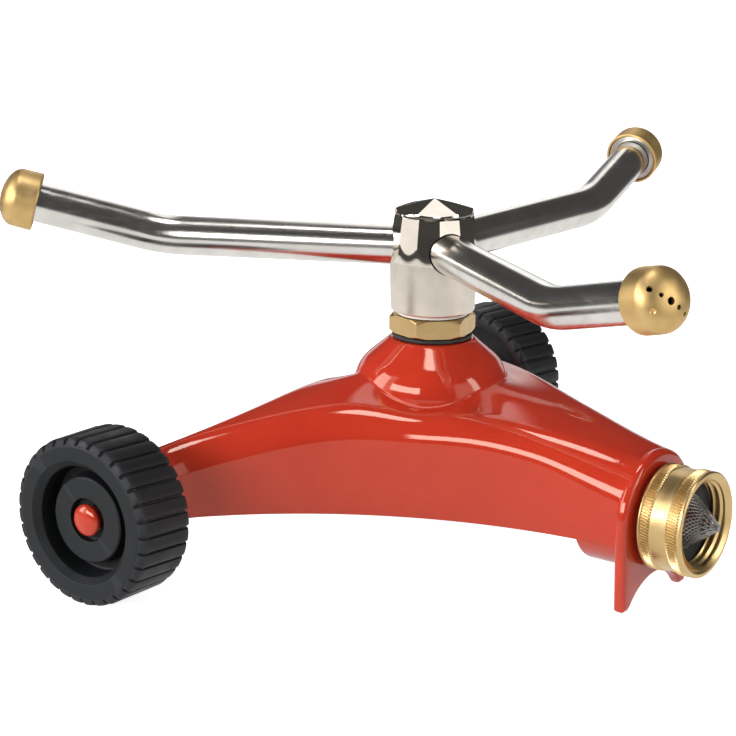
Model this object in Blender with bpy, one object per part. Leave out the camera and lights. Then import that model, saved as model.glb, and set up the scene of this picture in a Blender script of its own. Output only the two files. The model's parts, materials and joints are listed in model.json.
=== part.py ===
"""Rotary sprinkler: three bent arms on a spinning hub, on a cast base with two wheels and a flange foot."""

import math

import bmesh
import bpy
from mathutils import Vector
from mathutils.geometry import delaunay_2d_cdt

# Shared fits, in metres
seat_gap = 0.0003
running_gap = 0.0001
broken_edge = 0.0005
tool_overrun = 0.0100
uneven_turn = math.radians(4.0)
sunk_overlap = 0.0017

# Wheels and their axle line
wheel_radius = 0.0259
wheel_width = 0.0215
wheel_rib_count = 32
wheel_rib_height = 0.0009
wheel_shoulder = 0.0025
wheel_face_radius = 0.0228
wheel_recess_radius = 0.0191
wheel_recess_depth = 0.0095
wheel_recess_chamfer = 0.0021
wheel_disc_radius = 0.0133
wheel_disc_inset = 0.0037
wheel_web = 0.0030
wheel_hub_radius = 0.0090
wheel_inner_rim = 0.0205
wheel_counterbore_radius = 0.0067
wheel_counterbore_depth = 0.0065
track_width = 0.2260
axle_x = -0.0474
axle_radius = 0.0040
axle_neck_radius = 0.0032
axle_neck_length = 0.0036
axle_grip = 0.0085
axle_washer_radius = 0.0080
axle_washer_thickness = 0.0009
axle_boss_radius = 0.0080
axle_boss_length = 0.0100
axle_cap_radius = 0.0051
axle_cap_height = 0.0045
axle_cap_edge = 0.0016

# Cast base, in plan and height
base_wall = 0.0030
base_rim_height = 0.0200
base_edge_radius = 0.0085
inlet_end_rounding = 0.0030
inlet_end_start = 0.0500
inlet_leg_half_width = 0.0176
wheel_leg_front_x = -0.0385
wheel_leg_rear_x = -0.0575
wheel_leg_corner = 0.0055
front_arc_middle = (0.0137, -0.0349)
front_arc_end = (-0.0330, -0.0722)
rear_arc_middle_x = -0.0340
wheel_leg_ridge = 0.0640
wheel_leg_fall = 0.245
wheel_leg_crown = 0.0015
inlet_leg_ridge = 0.0620
inlet_leg_fall = 0.200
inlet_leg_crown = 0.0022
saddle_height = 0.0520
dome_radius = 0.0245
dome_bulge = 0.0013
dome_shoulder_radius = 0.0205
dome_top_radius = 0.0128
dome_foot_height = 0.0515
dome_shoulder_drop = 0.0061
dome_top_height = 0.0686
dome_wall = 0.0040
dome_root = 0.0150
riser_radius = 0.0115
water_bore = 0.0070
inlet_tube_radius = 0.0120
inlet_boss_radius = 0.0174
inlet_boss_start = 0.0647

# Spacing of the roof's points
roof_spacing = 0.0110
roof_nearest = 0.0012

# Flange with its two feet
inlet_height = 0.0269
flange_back_x = 0.0806
flange_thickness = 0.0040
flange_arch_radius = 0.0200
flange_waist_drop = 0.0040
foot_spread = 0.0170
foot_tip_width = 0.0022
foot_arch_height = 0.0085

# Hose coupling, three-quarter inch garden hose thread
coupling_radius = 0.01625
coupling_length = 0.0147
coupling_gap = 0.0016
coupling_band = 0.0048
coupling_groove = 0.0006
coupling_thread_radius = 0.0134
coupling_lip = 0.0030
tailpiece_radius = 0.0100
tailpiece_grip = 0.0140
tailpiece_flange_radius = 0.0126
tailpiece_flange = 0.0022
coupling_washer_thickness = 0.0030
filter_radius = 0.0083
filter_wall = 0.0005
filter_cone_length = 0.0103
filter_tip_radius = 0.0010

# Spindle, hub and what lies between them
gasket_thickness = 0.0012
gasket_radius = 0.0127
hex_corner_radius = 0.0138
hex_height = 0.0058
hex_chamfer = 0.0006
hex_turn = math.radians(-16.0)
spindle_root_radius = 0.0090
spindle_root_length = 0.0150
riser_relief = 0.0020
spindle_stem_radius = 0.00605
spindle_bore = 0.0040
thrust_washer_radius = 0.0115
thrust_washer_thickness = 0.0008
hub_radius = 0.0133
hub_waist_radius = 0.01395
hub_height = 0.0307
hub_waist_height = 0.0190
hub_facet_count = 12
hub_facet_top = 0.01205
hub_facet_lean = 0.155
hub_turn = math.radians(-17.0)
hub_bush_bore = 0.0084
hub_bush_length = 0.0121
hub_chamber_radius = 0.0096
top_washer_radius = 0.0092
nut_corner_radius = 0.0081
nut_height = 0.0034
stem_tip = 0.0010
hub_cap_radius = 0.0124
hub_cap_rise = 0.0038
hub_cap_slope = 0.25
hub_cap_plug = 0.0045

# Arms and nozzles
arm_turn = math.radians(-152.1)
arm_count = 3
arm_height_on_hub = 0.0200
tube_radius = 0.00623
tube_wall = 0.0010
bend_reach = 0.0871
bend_radius = 0.0300
outer_rise = math.radians(14.75)
outer_lean = math.radians(12.0)
cap_start = 0.0410
tube_in_cap = 0.0060
cap_radius = 0.0093
cap_skirt = 0.0033
cap_wall = 0.0012
collar_radius = 0.0077
collar_length = 0.0032
jet_radii = (0.0008, 0.00065, 0.0011, 0.0007, 0.0006)
jet_first = math.radians(47.0)
jet_step = math.radians(-22.0)
jet_row_turn = math.atan2(0.6, 0.8)
jet_row_shift = -0.11

# Levels and stations worked out from the values above
wheel_outer_y = track_width / 2
wheel_inner_y = wheel_outer_y - wheel_width
leg_end_y = wheel_inner_y - axle_washer_thickness - 2 * seat_gap
dome_shoulder_height = dome_top_height - dome_shoulder_drop
flange_front_x = flange_back_x + flange_thickness
coupling_back_x = flange_front_x + coupling_gap
coupling_front_x = coupling_back_x + coupling_length
gasket_bottom = dome_top_height + seat_gap
hex_bottom = gasket_bottom + gasket_thickness + seat_gap
hex_top = hex_bottom + hex_height
hub_bottom = hex_top + thrust_washer_thickness + 2 * seat_gap
hub_top = hub_bottom + hub_height
arm_height = hub_bottom + arm_height_on_hub
bush_top = hub_bottom + hub_bush_length
stem_washer_bottom = bush_top + seat_gap
nut_bottom = stem_washer_bottom + thrust_washer_thickness + seat_gap
stem_top = nut_bottom + nut_height + stem_tip

assembly = None
rotor = None
rotor_pieces = ("hub_", "arm_", "nozzle_", "cap_", "jet_")


def clear_scene():
    for thing in list(bpy.data.objects):
        bpy.data.objects.remove(thing)


def finish(name, colour, roughness, metallic):
    made = bpy.data.materials.new(name)
    made.use_nodes = True
    shader = made.node_tree.nodes["Principled BSDF"]
    shader.inputs["Base Color"].default_value = (*colour, 1.0)
    shader.inputs["Roughness"].default_value = roughness
    shader.inputs["Metallic"].default_value = metallic
    made.diffuse_color = (*colour, 1.0)
    return made


def axis_empty(name, location, parent=None):
    made = bpy.data.objects.new(name, None)
    made.location = location
    made.parent = parent
    bpy.context.scene.collection.objects.link(made)
    return made


def object_from(name, bm, material=None, location=(0, 0, 0), rotation=(0, 0, 0)):
    bmesh.ops.recalc_face_normals(bm, faces=bm.faces)
    if bm.calc_volume(signed=True) < 0:
        bmesh.ops.reverse_faces(bm, faces=bm.faces)
    mesh = bpy.data.meshes.new(name)
    bm.to_mesh(mesh)
    bm.free()
    made = bpy.data.objects.new(name, mesh)
    made.location = location
    made.rotation_euler = rotation
    made.parent = rotor if name.startswith(rotor_pieces) else assembly
    bpy.context.scene.collection.objects.link(made)
    if material:
        mesh.materials.append(material)
        mesh.shade_smooth()
        mesh.set_sharp_from_angle(angle=math.radians(32))
    return made


def lathe(profile, segments, closed=True, ripple=None, first_turn=0.0):
    """Mesh of a profile of (radius, height) points turned round Z; an open one ends on the axis."""
    bm = bmesh.new()
    rings = []
    for radius, height in profile:
        if radius == 0:
            rings.append([bm.verts.new((0, 0, height))])
            continue
        ring = []
        for step in range(segments):
            turn = first_turn + 2 * math.pi * step / segments
            reach = radius - (ripple(step, radius) if ripple else 0)
            ring.append(bm.verts.new((reach * math.cos(turn), reach * math.sin(turn), height)))
        rings.append(ring)
    pairs = list(zip(rings, rings[1:]))
    if closed:
        pairs.append((rings[-1], rings[0]))
    for low, high in pairs:
        for step in range(segments):
            after = (step + 1) % segments
            if len(low) == 1:
                bm.faces.new((low[0], high[after], high[step]))
            elif len(high) == 1:
                bm.faces.new((low[step], low[after], high[0]))
            else:
                bm.faces.new((low[step], low[after], high[after], high[step]))
    return bm


def arc(centre, radius, start, end, steps):
    """Points on an arc, both ends included, with angles in degrees."""
    turns = [math.radians(start + (end - start) * i / steps) for i in range(steps + 1)]
    return [(centre[0] + radius * math.cos(t), centre[1] + radius * math.sin(t)) for t in turns]


def arc_through(first, middle, last, steps):
    """Points on the circle through three points, from the first to the last."""
    a = Vector(first)
    b = Vector(middle)
    c = Vector(last)
    d = 2 * (a.x * (b.y - c.y) + b.x * (c.y - a.y) + c.x * (a.y - b.y))
    spans = (a.length_squared, b.length_squared, c.length_squared)
    x = (spans[0] * (b.y - c.y) + spans[1] * (c.y - a.y) + spans[2] * (a.y - b.y)) / d
    y = (spans[0] * (c.x - b.x) + spans[1] * (a.x - c.x) + spans[2] * (b.x - a.x)) / d
    centre = Vector((x, y))
    radius = (a - centre).length
    start = math.atan2(a.y - y, a.x - x)
    sweep = math.atan2(c.y - y, c.x - x) - start
    sweep = (sweep + math.pi) % (2 * math.pi) - math.pi
    turns = [start + sweep * i / steps for i in range(steps + 1)]
    return [(x + radius * math.cos(t), y + radius * math.sin(t)) for t in turns]


def curve_through_corner(first, corner, last, steps):
    """Quadratic curve from first to last, tangent to both lines that meet at the corner."""
    points = []
    for i in range(steps + 1):
        t = i / steps
        a = Vector(first) * (1 - t) ** 2
        b = Vector(corner) * 2 * t * (1 - t)
        c = Vector(last) * t**2
        points.append(tuple(a + b + c))
    return points


def ring_piece(name, profile, material, segments=32, location=(0, 0, 0), rotation=(0, 0, 0)):
    return object_from(name, lathe(profile, segments), material, location, rotation)


def tool_from(bm, location=(0, 0, 0), rotation=(0, 0, 0), name="shaping_tool"):
    tool = object_from(name, bm, None, location, rotation)
    tool.hide_render = True
    tool.display_type = "WIRE"
    return tool


def combine(target, tool, operation):
    step = target.modifiers.new(operation.title(), "BOOLEAN")
    step.operation = operation
    step.solver = "EXACT"
    step.object = tool


def rod(radius, bottom, top, segments=24, first_turn=0.0):
    profile = [(0, bottom), (radius, bottom), (radius, top), (0, top)]
    return lathe(profile, segments, closed=False, first_turn=first_turn)


along_x = (0, math.pi / 2, 0)


def along_y(side):
    return (-side * math.pi / 2, 0, 0)


# Plan of the cast base


def edge_insets():
    turns = [math.radians(22.5 * k) for k in range(1, 5)]
    return [base_edge_radius * (1 - math.cos(t)) for t in turns]


def half_plan():
    """Plan points on the -Y side, from the middle of the inlet end to the middle of the rear wall."""
    end_x = flange_back_x + flange_thickness / 2
    width = inlet_leg_half_width
    across = [0, width * 0.25]
    across += [width - inset for inset in reversed(edge_insets())] + [width]
    points = [(end_x, -y) for y in across]
    front = arc_through((end_x, -width), front_arc_middle, front_arc_end, 15)
    points += front[1:]
    last = Vector(front[-1])
    heading = (last - Vector(front[-2])).normalized()
    run = (wheel_leg_front_x - last.x) / heading.x
    bend = (wheel_leg_front_x, last.y + run * heading.y)
    flare_end = (wheel_leg_front_x, -(leg_end_y - wheel_leg_corner))
    points += curve_through_corner(front[-1], bend, flare_end, 3)[1:]
    corner = wheel_leg_corner
    points += arc((wheel_leg_front_x - corner, flare_end[1]), corner, 0, -90, 4)[1:]
    points += arc((wheel_leg_rear_x + corner, flare_end[1]), corner, -90, -180, 4)
    rear_start = (wheel_leg_rear_x, flare_end[1])
    points += arc_through(rear_start, (rear_arc_middle_x, 0), (rear_start[0], -rear_start[1]), 18)[1:10]
    return points


def base_plan():
    half = half_plan()
    other = [(x, -y) for x, y in reversed(half[1:-1])]
    return list(reversed(half + other))


def wall_runs(plan):
    """The three side walls of the casting: one on each side of the inlet leg, and the rear one."""
    end_x = plan_end(plan)
    runs = [[], [], []]
    for start, end in zip(plan, plan[1:] + plan[:1]):
        if start[0] == end_x and end[0] == end_x:
            continue
        faces_back = end[1] - start[1] < -seat_gap
        side = 2 if faces_back else int(start[1] + end[1] > 0)
        runs[side].append((Vector(start), Vector(end)))
    return runs


def to_walls(plan):
    """Distances from a point to the nearest side wall and to the next one."""
    runs = wall_runs(plan)

    def distances(x, y):
        point = Vector((x, y))
        found = []
        for run in runs:
            best = 1.0
            for start, end in run:
                along = end - start
                part = max(0.0, min(1.0, (point - start).dot(along) / along.length_squared))
                best = min(best, (point - start - along * part).length)
            found.append(best)
        found.sort()
        return found[0], found[1]

    return distances


def smooth_step(value):
    part = max(0.0, min(1.0, value))
    return part * part * (3 - 2 * part)


def base_top(x, y, near, far):
    """Height of the casting's top, which falls along each leg, dips between them and is crowned across."""
    reach = math.hypot(x, y)
    toward_inlet = max(0.0, x / reach) ** 2 if reach else 0.0
    ridge = wheel_leg_ridge + (inlet_leg_ridge - wheel_leg_ridge) * toward_inlet
    fall = wheel_leg_fall + (inlet_leg_fall - wheel_leg_fall) * toward_inlet
    crown = wheel_leg_crown + (inlet_leg_crown - wheel_leg_crown) * toward_inlet
    between = (1 - math.cos(3 * math.atan2(y, x))) / 2 * smooth_step(reach / dome_radius)
    across = (far - near) / max(far + near, broken_edge)
    return saddle_height * between + (ridge - fall * reach - crown * across**2) * (1 - between)


def edge_radius(x):
    """Radius of the top edge, which grows towards the flange."""
    part = (x - inlet_end_start) / (flange_back_x - inlet_end_start)
    return base_edge_radius + inlet_end_rounding * smooth_step(part)


def rounding(depth, radius):
    if depth >= radius:
        return 0.0
    return radius - math.sqrt(radius**2 - (radius - depth) ** 2)


def inset_plan(plan, amount):
    """The plan moved inwards by a wall's thickness, with its inlet end just inside the flange."""
    end_x = plan_end(plan)
    step_back = flange_thickness / 2 - broken_edge
    moved = []
    for before, here, after in zip(plan[-1:] + plan[:-1], plan, plan[1:] + plan[:1]):
        if here[0] == end_x:
            shift = amount * here[1] / inlet_leg_half_width
            moved.append((end_x - step_back, here[1] - shift))
            continue
        along = (Vector(after) - Vector(before)).normalized()
        inward = Vector((-along.y, along.x))
        moved.append(tuple(Vector(here) + inward * amount))
    return moved


def cap_surface(bm, plan, loop, height, insets, distances, margin):
    """Triangulated roof over a plan: its rim is the given loop of vertices, lifted to the height function."""
    end_x = plan_end(plan) - 2 * broken_edge
    points = [Vector(p) for p in plan]
    count = len(points)
    extra = []
    for before, here, after in zip(plan[-1:] + plan[:-1], plan, plan[1:] + plan[:1]):
        along = (Vector(after) - Vector(before)).normalized()
        inward = Vector((-along.y, along.x))
        for inset in insets:
            spot = Vector(here) + inward * inset
            if distances(*spot)[0] > margin + inset * 0.97 and spot.x < end_x:
                extra.append(spot)
    rows = math.ceil(wheel_outer_y / roof_spacing)
    for row in range(-rows, rows + 1):
        for column in range(-rows, rows + 1):
            spot = Vector((column * roof_spacing, row * roof_spacing))
            if inside(spot, plan) and distances(*spot)[0] > margin + insets[-1] + roof_spacing / 2:
                extra.append(spot)
    tidy = []
    for spot in extra:
        if all((spot - other).length > roof_nearest for other in tidy):
            tidy.append(spot)
    result = delaunay_2d_cdt(points + tidy, [], [list(range(count))], 1, 1e-7, True)
    verts = []
    for position, sources in zip(result[0], result[3]):
        rim = [source for source in sources if source < count]
        if rim:
            verts.append(loop[rim[0]])
        else:
            verts.append(bm.verts.new((position.x, position.y, height(position.x, position.y))))
    for face in result[2]:
        middle = sum((result[0][i] for i in face), Vector((0, 0))) / 3
        if inside(middle, plan):
            bm.faces.new([verts[i] for i in face])


def plan_end(plan):
    return max(x for x, _ in plan)


def inside(spot, plan):
    crossings = 0
    for start, end in zip(plan, plan[1:] + plan[:1]):
        if (start[1] > spot.y) != (end[1] > spot.y):
            x = start[0] + (spot.y - start[1]) * (end[0] - start[0]) / (end[1] - start[1])
            crossings += x > spot.x
    return crossings % 2 == 1


def base_shell():
    """The casting's three-legged shell, open below."""
    plan = base_plan()
    inner = inset_plan(plan, base_wall)
    distances = to_walls(plan)

    def outside(x, y):
        near, far = distances(x, y)
        return base_top(x, y, near, far) - rounding(near, edge_radius(x))

    def underside(x, y):
        near, far = distances(x, y)
        inner_radius = edge_radius(x) - base_wall
        return base_top(x, y, near, far) - base_wall - rounding(max(0.0, near - base_wall), inner_radius)

    bm = bmesh.new()
    outer_top = [bm.verts.new((x, y, outside(x, y))) for x, y in plan]
    outer_rim = [bm.verts.new((x, y, base_rim_height)) for x, y in plan]
    inner_rim = [bm.verts.new((x, y, base_rim_height)) for x, y in inner]
    inner_top = [bm.verts.new((x, y, underside(x, y))) for x, y in inner]
    loops = (outer_top, outer_rim, inner_rim, inner_top)
    for high, low in zip(loops, loops[1:]):
        for i in range(len(plan)):
            after = (i + 1) % len(plan)
            bm.faces.new((high[i], low[i], low[after], high[after]))
    cap_surface(bm, plan, outer_top, outside, edge_insets(), distances, 0.0)
    inner_radius = base_edge_radius - base_wall
    cap_surface(bm, inner, inner_top, underside, [inner_radius / 2, inner_radius], distances, base_wall)
    bmesh.ops.triangulate(bm, faces=bm.faces)
    return bm


def dome_profile():
    foot = (dome_radius, dome_foot_height)
    shoulder = (dome_shoulder_radius, dome_shoulder_height)
    middle = ((foot[0] + shoulder[0]) / 2 + dome_bulge, (foot[1] + shoulder[1]) / 2 + dome_bulge / 2)
    root = inlet_height + dome_root
    profile = [(0, root), (dome_radius, root)]
    profile += arc_through(foot, middle, shoulder, 5)
    profile += [(dome_top_radius + 2 * broken_edge, dome_top_height - broken_edge)]
    return profile + [(dome_top_radius, dome_top_height), (0, dome_top_height)]


def flange_outline():
    """The flange in the YZ plane: an arch on top, two tapered feet and the arch between them."""
    waist_height = inlet_height - flange_waist_drop
    outer = foot_spread + foot_tip_width / 2
    inner = foot_spread - foot_tip_width / 2
    points = arc((0, inlet_height), flange_arch_radius, 0, 180, 24)
    points += [(-flange_arch_radius, waist_height), (-outer, broken_edge), (-outer + broken_edge, 0)]
    rise = foot_arch_height
    radius = (inner**2 + rise**2) / (2 * rise)
    sweep = math.degrees(math.asin(inner / radius))
    points += arc((0, rise - radius), radius, 90 + sweep, 90 - sweep, 14)
    points += [(outer - broken_edge, 0), (outer, broken_edge), (flange_arch_radius, waist_height)]
    return points


def flange_plate():
    bm = bmesh.new()
    back = [bm.verts.new((flange_back_x, y, z)) for y, z in flange_outline()]
    front = [bm.verts.new((flange_front_x, y, z)) for y, z in flange_outline()]
    bm.faces.new(back)
    bm.faces.new(list(reversed(front)))
    for i in range(len(back)):
        after = (i + 1) % len(back)
        bm.faces.new((back[i], front[i], front[after], back[after]))
    bmesh.ops.triangulate(bm, faces=bm.faces, ngon_method="EAR_CLIP")
    return bm


def make_base(red):
    base = object_from("base_casting", base_shell(), red)
    flat = (0, 0, 0)
    inlet = (0, 0, inlet_height)
    sunk = flange_back_x + sunk_overlap
    riser_foot = inlet_height - inlet_tube_radius + broken_edge
    for bm, location, rotation in (
        (lathe(dome_profile(), 40, closed=False), flat, flat),
        (rod(riser_radius, riser_foot, dome_top_height - dome_wall), flat, flat),
        (rod(inlet_tube_radius, 0, sunk, 30, uneven_turn), inlet, along_x),
        (rod(inlet_boss_radius, inlet_boss_start, sunk, 36, 2 * uneven_turn), inlet, along_x),
        (flange_plate(), flat, flat),
    ):
        combine(base, tool_from(bm, location, rotation, "base_form"), "UNION")
    for side in (-1, 1):
        boss = rod(axle_boss_radius, leg_end_y - axle_boss_length, leg_end_y - seat_gap, 24)
        combine(base, tool_from(boss, (axle_x, 0, wheel_radius), along_y(side), "axle_boss"), "UNION")
    hollow_inner = riser_radius - broken_edge
    hollow_floor = inlet_height + inlet_tube_radius + 2 * broken_edge
    hollow_top = dome_shoulder_height - dome_wall
    hollow = [
        (hollow_inner, hollow_floor),
        (dome_radius - dome_wall, hollow_floor),
        (dome_radius - dome_wall, dome_foot_height),
        (dome_shoulder_radius - dome_wall, hollow_top),
        (hollow_inner, hollow_top + 2 * broken_edge),
    ]
    combine(base, tool_from(lathe(hollow, 28), name="dome_hollow"), "DIFFERENCE")
    over_dome = dome_top_height + tool_overrun
    over_flange = flange_front_x + tool_overrun
    root_depth = hex_bottom - spindle_root_length - seat_gap - riser_relief
    root = rod(spindle_root_radius + seat_gap, root_depth, over_dome)
    combine(base, tool_from(root, name="spindle_socket"), "DIFFERENCE")
    riser_bore = rod(water_bore - seat_gap, inlet_height - 2 * broken_edge, over_dome, 24, uneven_turn)
    combine(base, tool_from(riser_bore, name="riser_bore"), "DIFFERENCE")
    bore = rod(water_bore, -water_bore * 0.75, over_flange, 24, uneven_turn)
    combine(base, tool_from(bore, inlet, along_x, "inlet_bore"), "DIFFERENCE")
    socket_depth = flange_front_x - tailpiece_grip - seat_gap
    socket = rod(tailpiece_radius + seat_gap, socket_depth, over_flange, 28, uneven_turn)
    combine(base, tool_from(socket, inlet, along_x, "tailpiece_socket"), "DIFFERENCE")
    for side in (-1, 1):
        hole = rod(axle_radius + seat_gap, leg_end_y - axle_grip - seat_gap, leg_end_y + tool_overrun, 24)
        combine(base, tool_from(hole, (axle_x, 0, wheel_radius), along_y(side), "axle_hole"), "DIFFERENCE")
    return base


# Wheels, with their pins, washers and caps


def wheel_profile():
    """Closed profile from the inner face, at height 0, to the outer one."""
    face = wheel_width
    root = wheel_radius - wheel_rib_height
    floor = face - wheel_recess_depth
    wall = wheel_recess_radius - wheel_recess_chamfer
    return [
        (axle_radius + running_gap, 0),
        (wheel_hub_radius, 0),
        (wheel_hub_radius, floor - wheel_web),
        (wheel_inner_rim, floor - wheel_web),
        (wheel_inner_rim, 2 * broken_edge),
        (wheel_face_radius, 0),
        (root, wheel_shoulder * 0.5),
        (wheel_radius, wheel_shoulder),
        (wheel_radius, face - wheel_shoulder),
        (root, face - wheel_shoulder * 0.5),
        (wheel_face_radius, face),
        (wheel_recess_radius, face),
        (wall, face - wheel_recess_chamfer),
        (wall, floor),
        (wheel_disc_radius, floor),
        (wheel_disc_radius, face - wheel_disc_inset),
        (wheel_counterbore_radius, face - wheel_disc_inset),
        (wheel_counterbore_radius, face - wheel_counterbore_depth),
        (axle_radius + running_gap, face - wheel_counterbore_depth),
    ]


def tread_ripple(step, radius):
    return wheel_rib_height if step % 2 and radius > wheel_radius - wheel_rib_height / 2 else 0


def make_wheel(side, label, black, steel, red):
    turn = along_y(side)
    axle = (axle_x, 0, wheel_radius)
    wheel = lathe(wheel_profile(), 2 * wheel_rib_count, ripple=tread_ripple)
    object_from(f"wheel_{label}", wheel, black, (axle_x, side * wheel_inner_y, wheel_radius), turn)
    counterbore_y = wheel_outer_y - wheel_counterbore_depth
    neck_start = counterbore_y - seat_gap
    neck_end = neck_start + axle_neck_length
    pin = [
        (0, leg_end_y - axle_grip),
        (axle_radius - broken_edge, leg_end_y - axle_grip),
        (axle_radius, leg_end_y - axle_grip + broken_edge),
        (axle_radius, neck_start),
        (axle_neck_radius, neck_start),
        (axle_neck_radius, neck_end),
        (0, neck_end),
    ]
    object_from(f"axle_pin_{label}", lathe(pin, 24, closed=False), steel, axle, turn)
    washer_start = leg_end_y + seat_gap
    washer = [
        (axle_radius + seat_gap, washer_start),
        (axle_washer_radius, washer_start),
        (axle_washer_radius, washer_start + axle_washer_thickness),
        (axle_radius + seat_gap, washer_start + axle_washer_thickness),
    ]
    ring_piece(f"axle_washer_{label}", washer, steel, 24, axle, turn)
    rim = counterbore_y + seat_gap
    top = rim + axle_cap_height
    inner = axle_neck_radius + seat_gap
    cap = [(0, neck_end + seat_gap), (inner, neck_end + seat_gap), (inner, rim), (axle_cap_radius, rim)]
    for rise in (0, 22, 45, 68):
        turned = math.radians(rise)
        dome_height = (axle_cap_height - axle_cap_edge) * math.sin(turned)
        cap.append((axle_cap_radius * math.cos(turned), rim + axle_cap_edge + dome_height))
    cap.append((0, top))
    object_from(f"axle_cap_{label}", lathe(cap, 24, closed=False), red, axle, turn)


# Hose inlet


def make_inlet(brass, rubber, mesh_steel):
    place = (0, 0, inlet_height)
    tail_start = flange_front_x - tailpiece_grip
    flange_start = coupling_back_x + coupling_lip + seat_gap
    flange_end = flange_start + tailpiece_flange
    tailpiece = [
        (water_bore + running_gap, tail_start),
        (tailpiece_radius, tail_start),
        (tailpiece_radius, flange_start),
        (tailpiece_flange_radius, flange_start),
        (tailpiece_flange_radius, flange_end),
        (water_bore + running_gap, flange_end),
    ]
    ring_piece("inlet_tailpiece", tailpiece, brass, 28, place, along_x)
    back = coupling_back_x
    front = coupling_front_x
    waist = coupling_radius - coupling_groove
    coupling = [
        (tailpiece_radius + seat_gap, back),
        (coupling_radius - broken_edge, back),
        (coupling_radius, back + broken_edge),
        (coupling_radius, back + coupling_band),
        (waist, back + coupling_band),
        (waist, front - coupling_band),
        (coupling_radius, front - coupling_band),
        (coupling_radius, front - broken_edge),
        (coupling_radius - broken_edge, front),
        (coupling_thread_radius + broken_edge, front),
        (coupling_thread_radius, front - broken_edge),
        (coupling_thread_radius, back + coupling_lip),
        (tailpiece_radius + seat_gap, back + coupling_lip),
    ]
    ring_piece("hose_coupling", coupling, brass, 44, place, along_x)
    seat = flange_end + seat_gap
    washer_end = seat + coupling_washer_thickness
    washer = [
        (filter_radius + seat_gap, seat),
        (coupling_thread_radius - 2 * seat_gap, seat),
        (coupling_thread_radius - 2 * seat_gap, washer_end),
        (filter_radius + seat_gap, washer_end),
    ]
    ring_piece("coupling_washer", washer, rubber, 28, place, along_x)
    tip = washer_end + filter_cone_length
    cone = [
        (filter_radius, seat),
        (filter_radius, washer_end),
        (filter_tip_radius, tip - filter_tip_radius / 2),
        (0, tip),
        (0, tip - filter_wall * 2),
        (filter_tip_radius - filter_wall, tip - filter_wall * 2 - filter_tip_radius / 2),
        (filter_radius - filter_wall, washer_end - filter_wall),
        (filter_radius - filter_wall, seat),
    ]
    bm = lathe(cone[:4], 24, closed=False)
    inner = lathe(cone[4:], 24, closed=False)
    shell = bpy.data.meshes.new("filter_inner")
    inner.to_mesh(shell)
    inner.free()
    bm.from_mesh(shell)
    rims = [edge for edge in bm.edges if edge.is_boundary]
    bmesh.ops.bridge_loops(bm, edges=rims)
    object_from("inlet_filter", bm, mesh_steel, place, along_x)


# Spindle and hub


def make_spindle(brass, rubber, nylon, steel):
    gasket = [
        (spindle_root_radius + seat_gap, gasket_bottom),
        (gasket_radius, gasket_bottom),
        (gasket_radius, gasket_bottom + gasket_thickness),
        (spindle_root_radius + seat_gap, gasket_bottom + gasket_thickness),
    ]
    ring_piece("riser_gasket", gasket, rubber)
    stem = [
        (spindle_bore, hex_bottom - spindle_root_length),
        (spindle_root_radius, hex_bottom - spindle_root_length),
        (spindle_root_radius, hex_bottom + 2 * broken_edge),
        (spindle_stem_radius, hex_bottom + 2 * broken_edge),
        (spindle_stem_radius, stem_top),
        (spindle_bore, stem_top),
    ]
    spindle = ring_piece("spindle", stem, brass, 32)
    corner = hex_corner_radius
    collar = [
        (spindle_bore + 2 * broken_edge, hex_bottom),
        (corner - hex_chamfer, hex_bottom),
        (corner, hex_bottom + hex_chamfer),
        (corner, hex_top - hex_chamfer),
        (corner - hex_chamfer, hex_top),
        (spindle_bore + 2 * broken_edge, hex_top),
    ]
    combine(spindle, tool_from(lathe(collar, 6), rotation=(0, 0, hex_turn), name="spindle_hexagon"), "UNION")
    for name, start, radius in (
        ("thrust_washer", hex_top + seat_gap, thrust_washer_radius),
        ("stem_washer", stem_washer_bottom, top_washer_radius),
    ):
        end = start + thrust_washer_thickness
        inner = spindle_stem_radius + seat_gap
        ring_piece(name, [(inner, start), (radius, start), (radius, end), (inner, end)], nylon)
    nut_end = nut_bottom + nut_height
    bore = spindle_stem_radius + seat_gap
    nut = object_from("spindle_nut", rod(nut_corner_radius, nut_bottom, nut_end, 6), steel)
    drill = rod(bore, nut_bottom - tool_overrun, nut_end + tool_overrun)
    combine(nut, tool_from(drill, name="nut_bore"), "DIFFERENCE")


def hub_profile():
    waist = hub_bottom + hub_waist_height
    return [
        (hub_bush_bore, hub_bottom),
        (hub_radius - broken_edge, hub_bottom),
        (hub_radius, hub_bottom + broken_edge),
        (hub_waist_radius, waist),
        (hub_waist_radius, hub_top),
        (hub_chamber_radius, hub_top),
        (hub_chamber_radius, bush_top),
        (hub_bush_bore, bush_top),
    ]


def facet_tool(count, top, flat_radius, lean, depth):
    """Pyramid with the given number of sides, measured across its flats at the given height."""
    to_corner = 1 / math.cos(math.pi / count)
    bottom = top - depth
    profile = [(0, bottom), ((flat_radius + lean * depth) * to_corner, bottom)]
    high = flat_radius - lean * tool_overrun
    if high > 0:
        profile += [(high * to_corner, top + tool_overrun), (0, top + tool_overrun)]
    else:
        profile.append((0, top + flat_radius / lean))
    return lathe(profile, count, closed=False)


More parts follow.
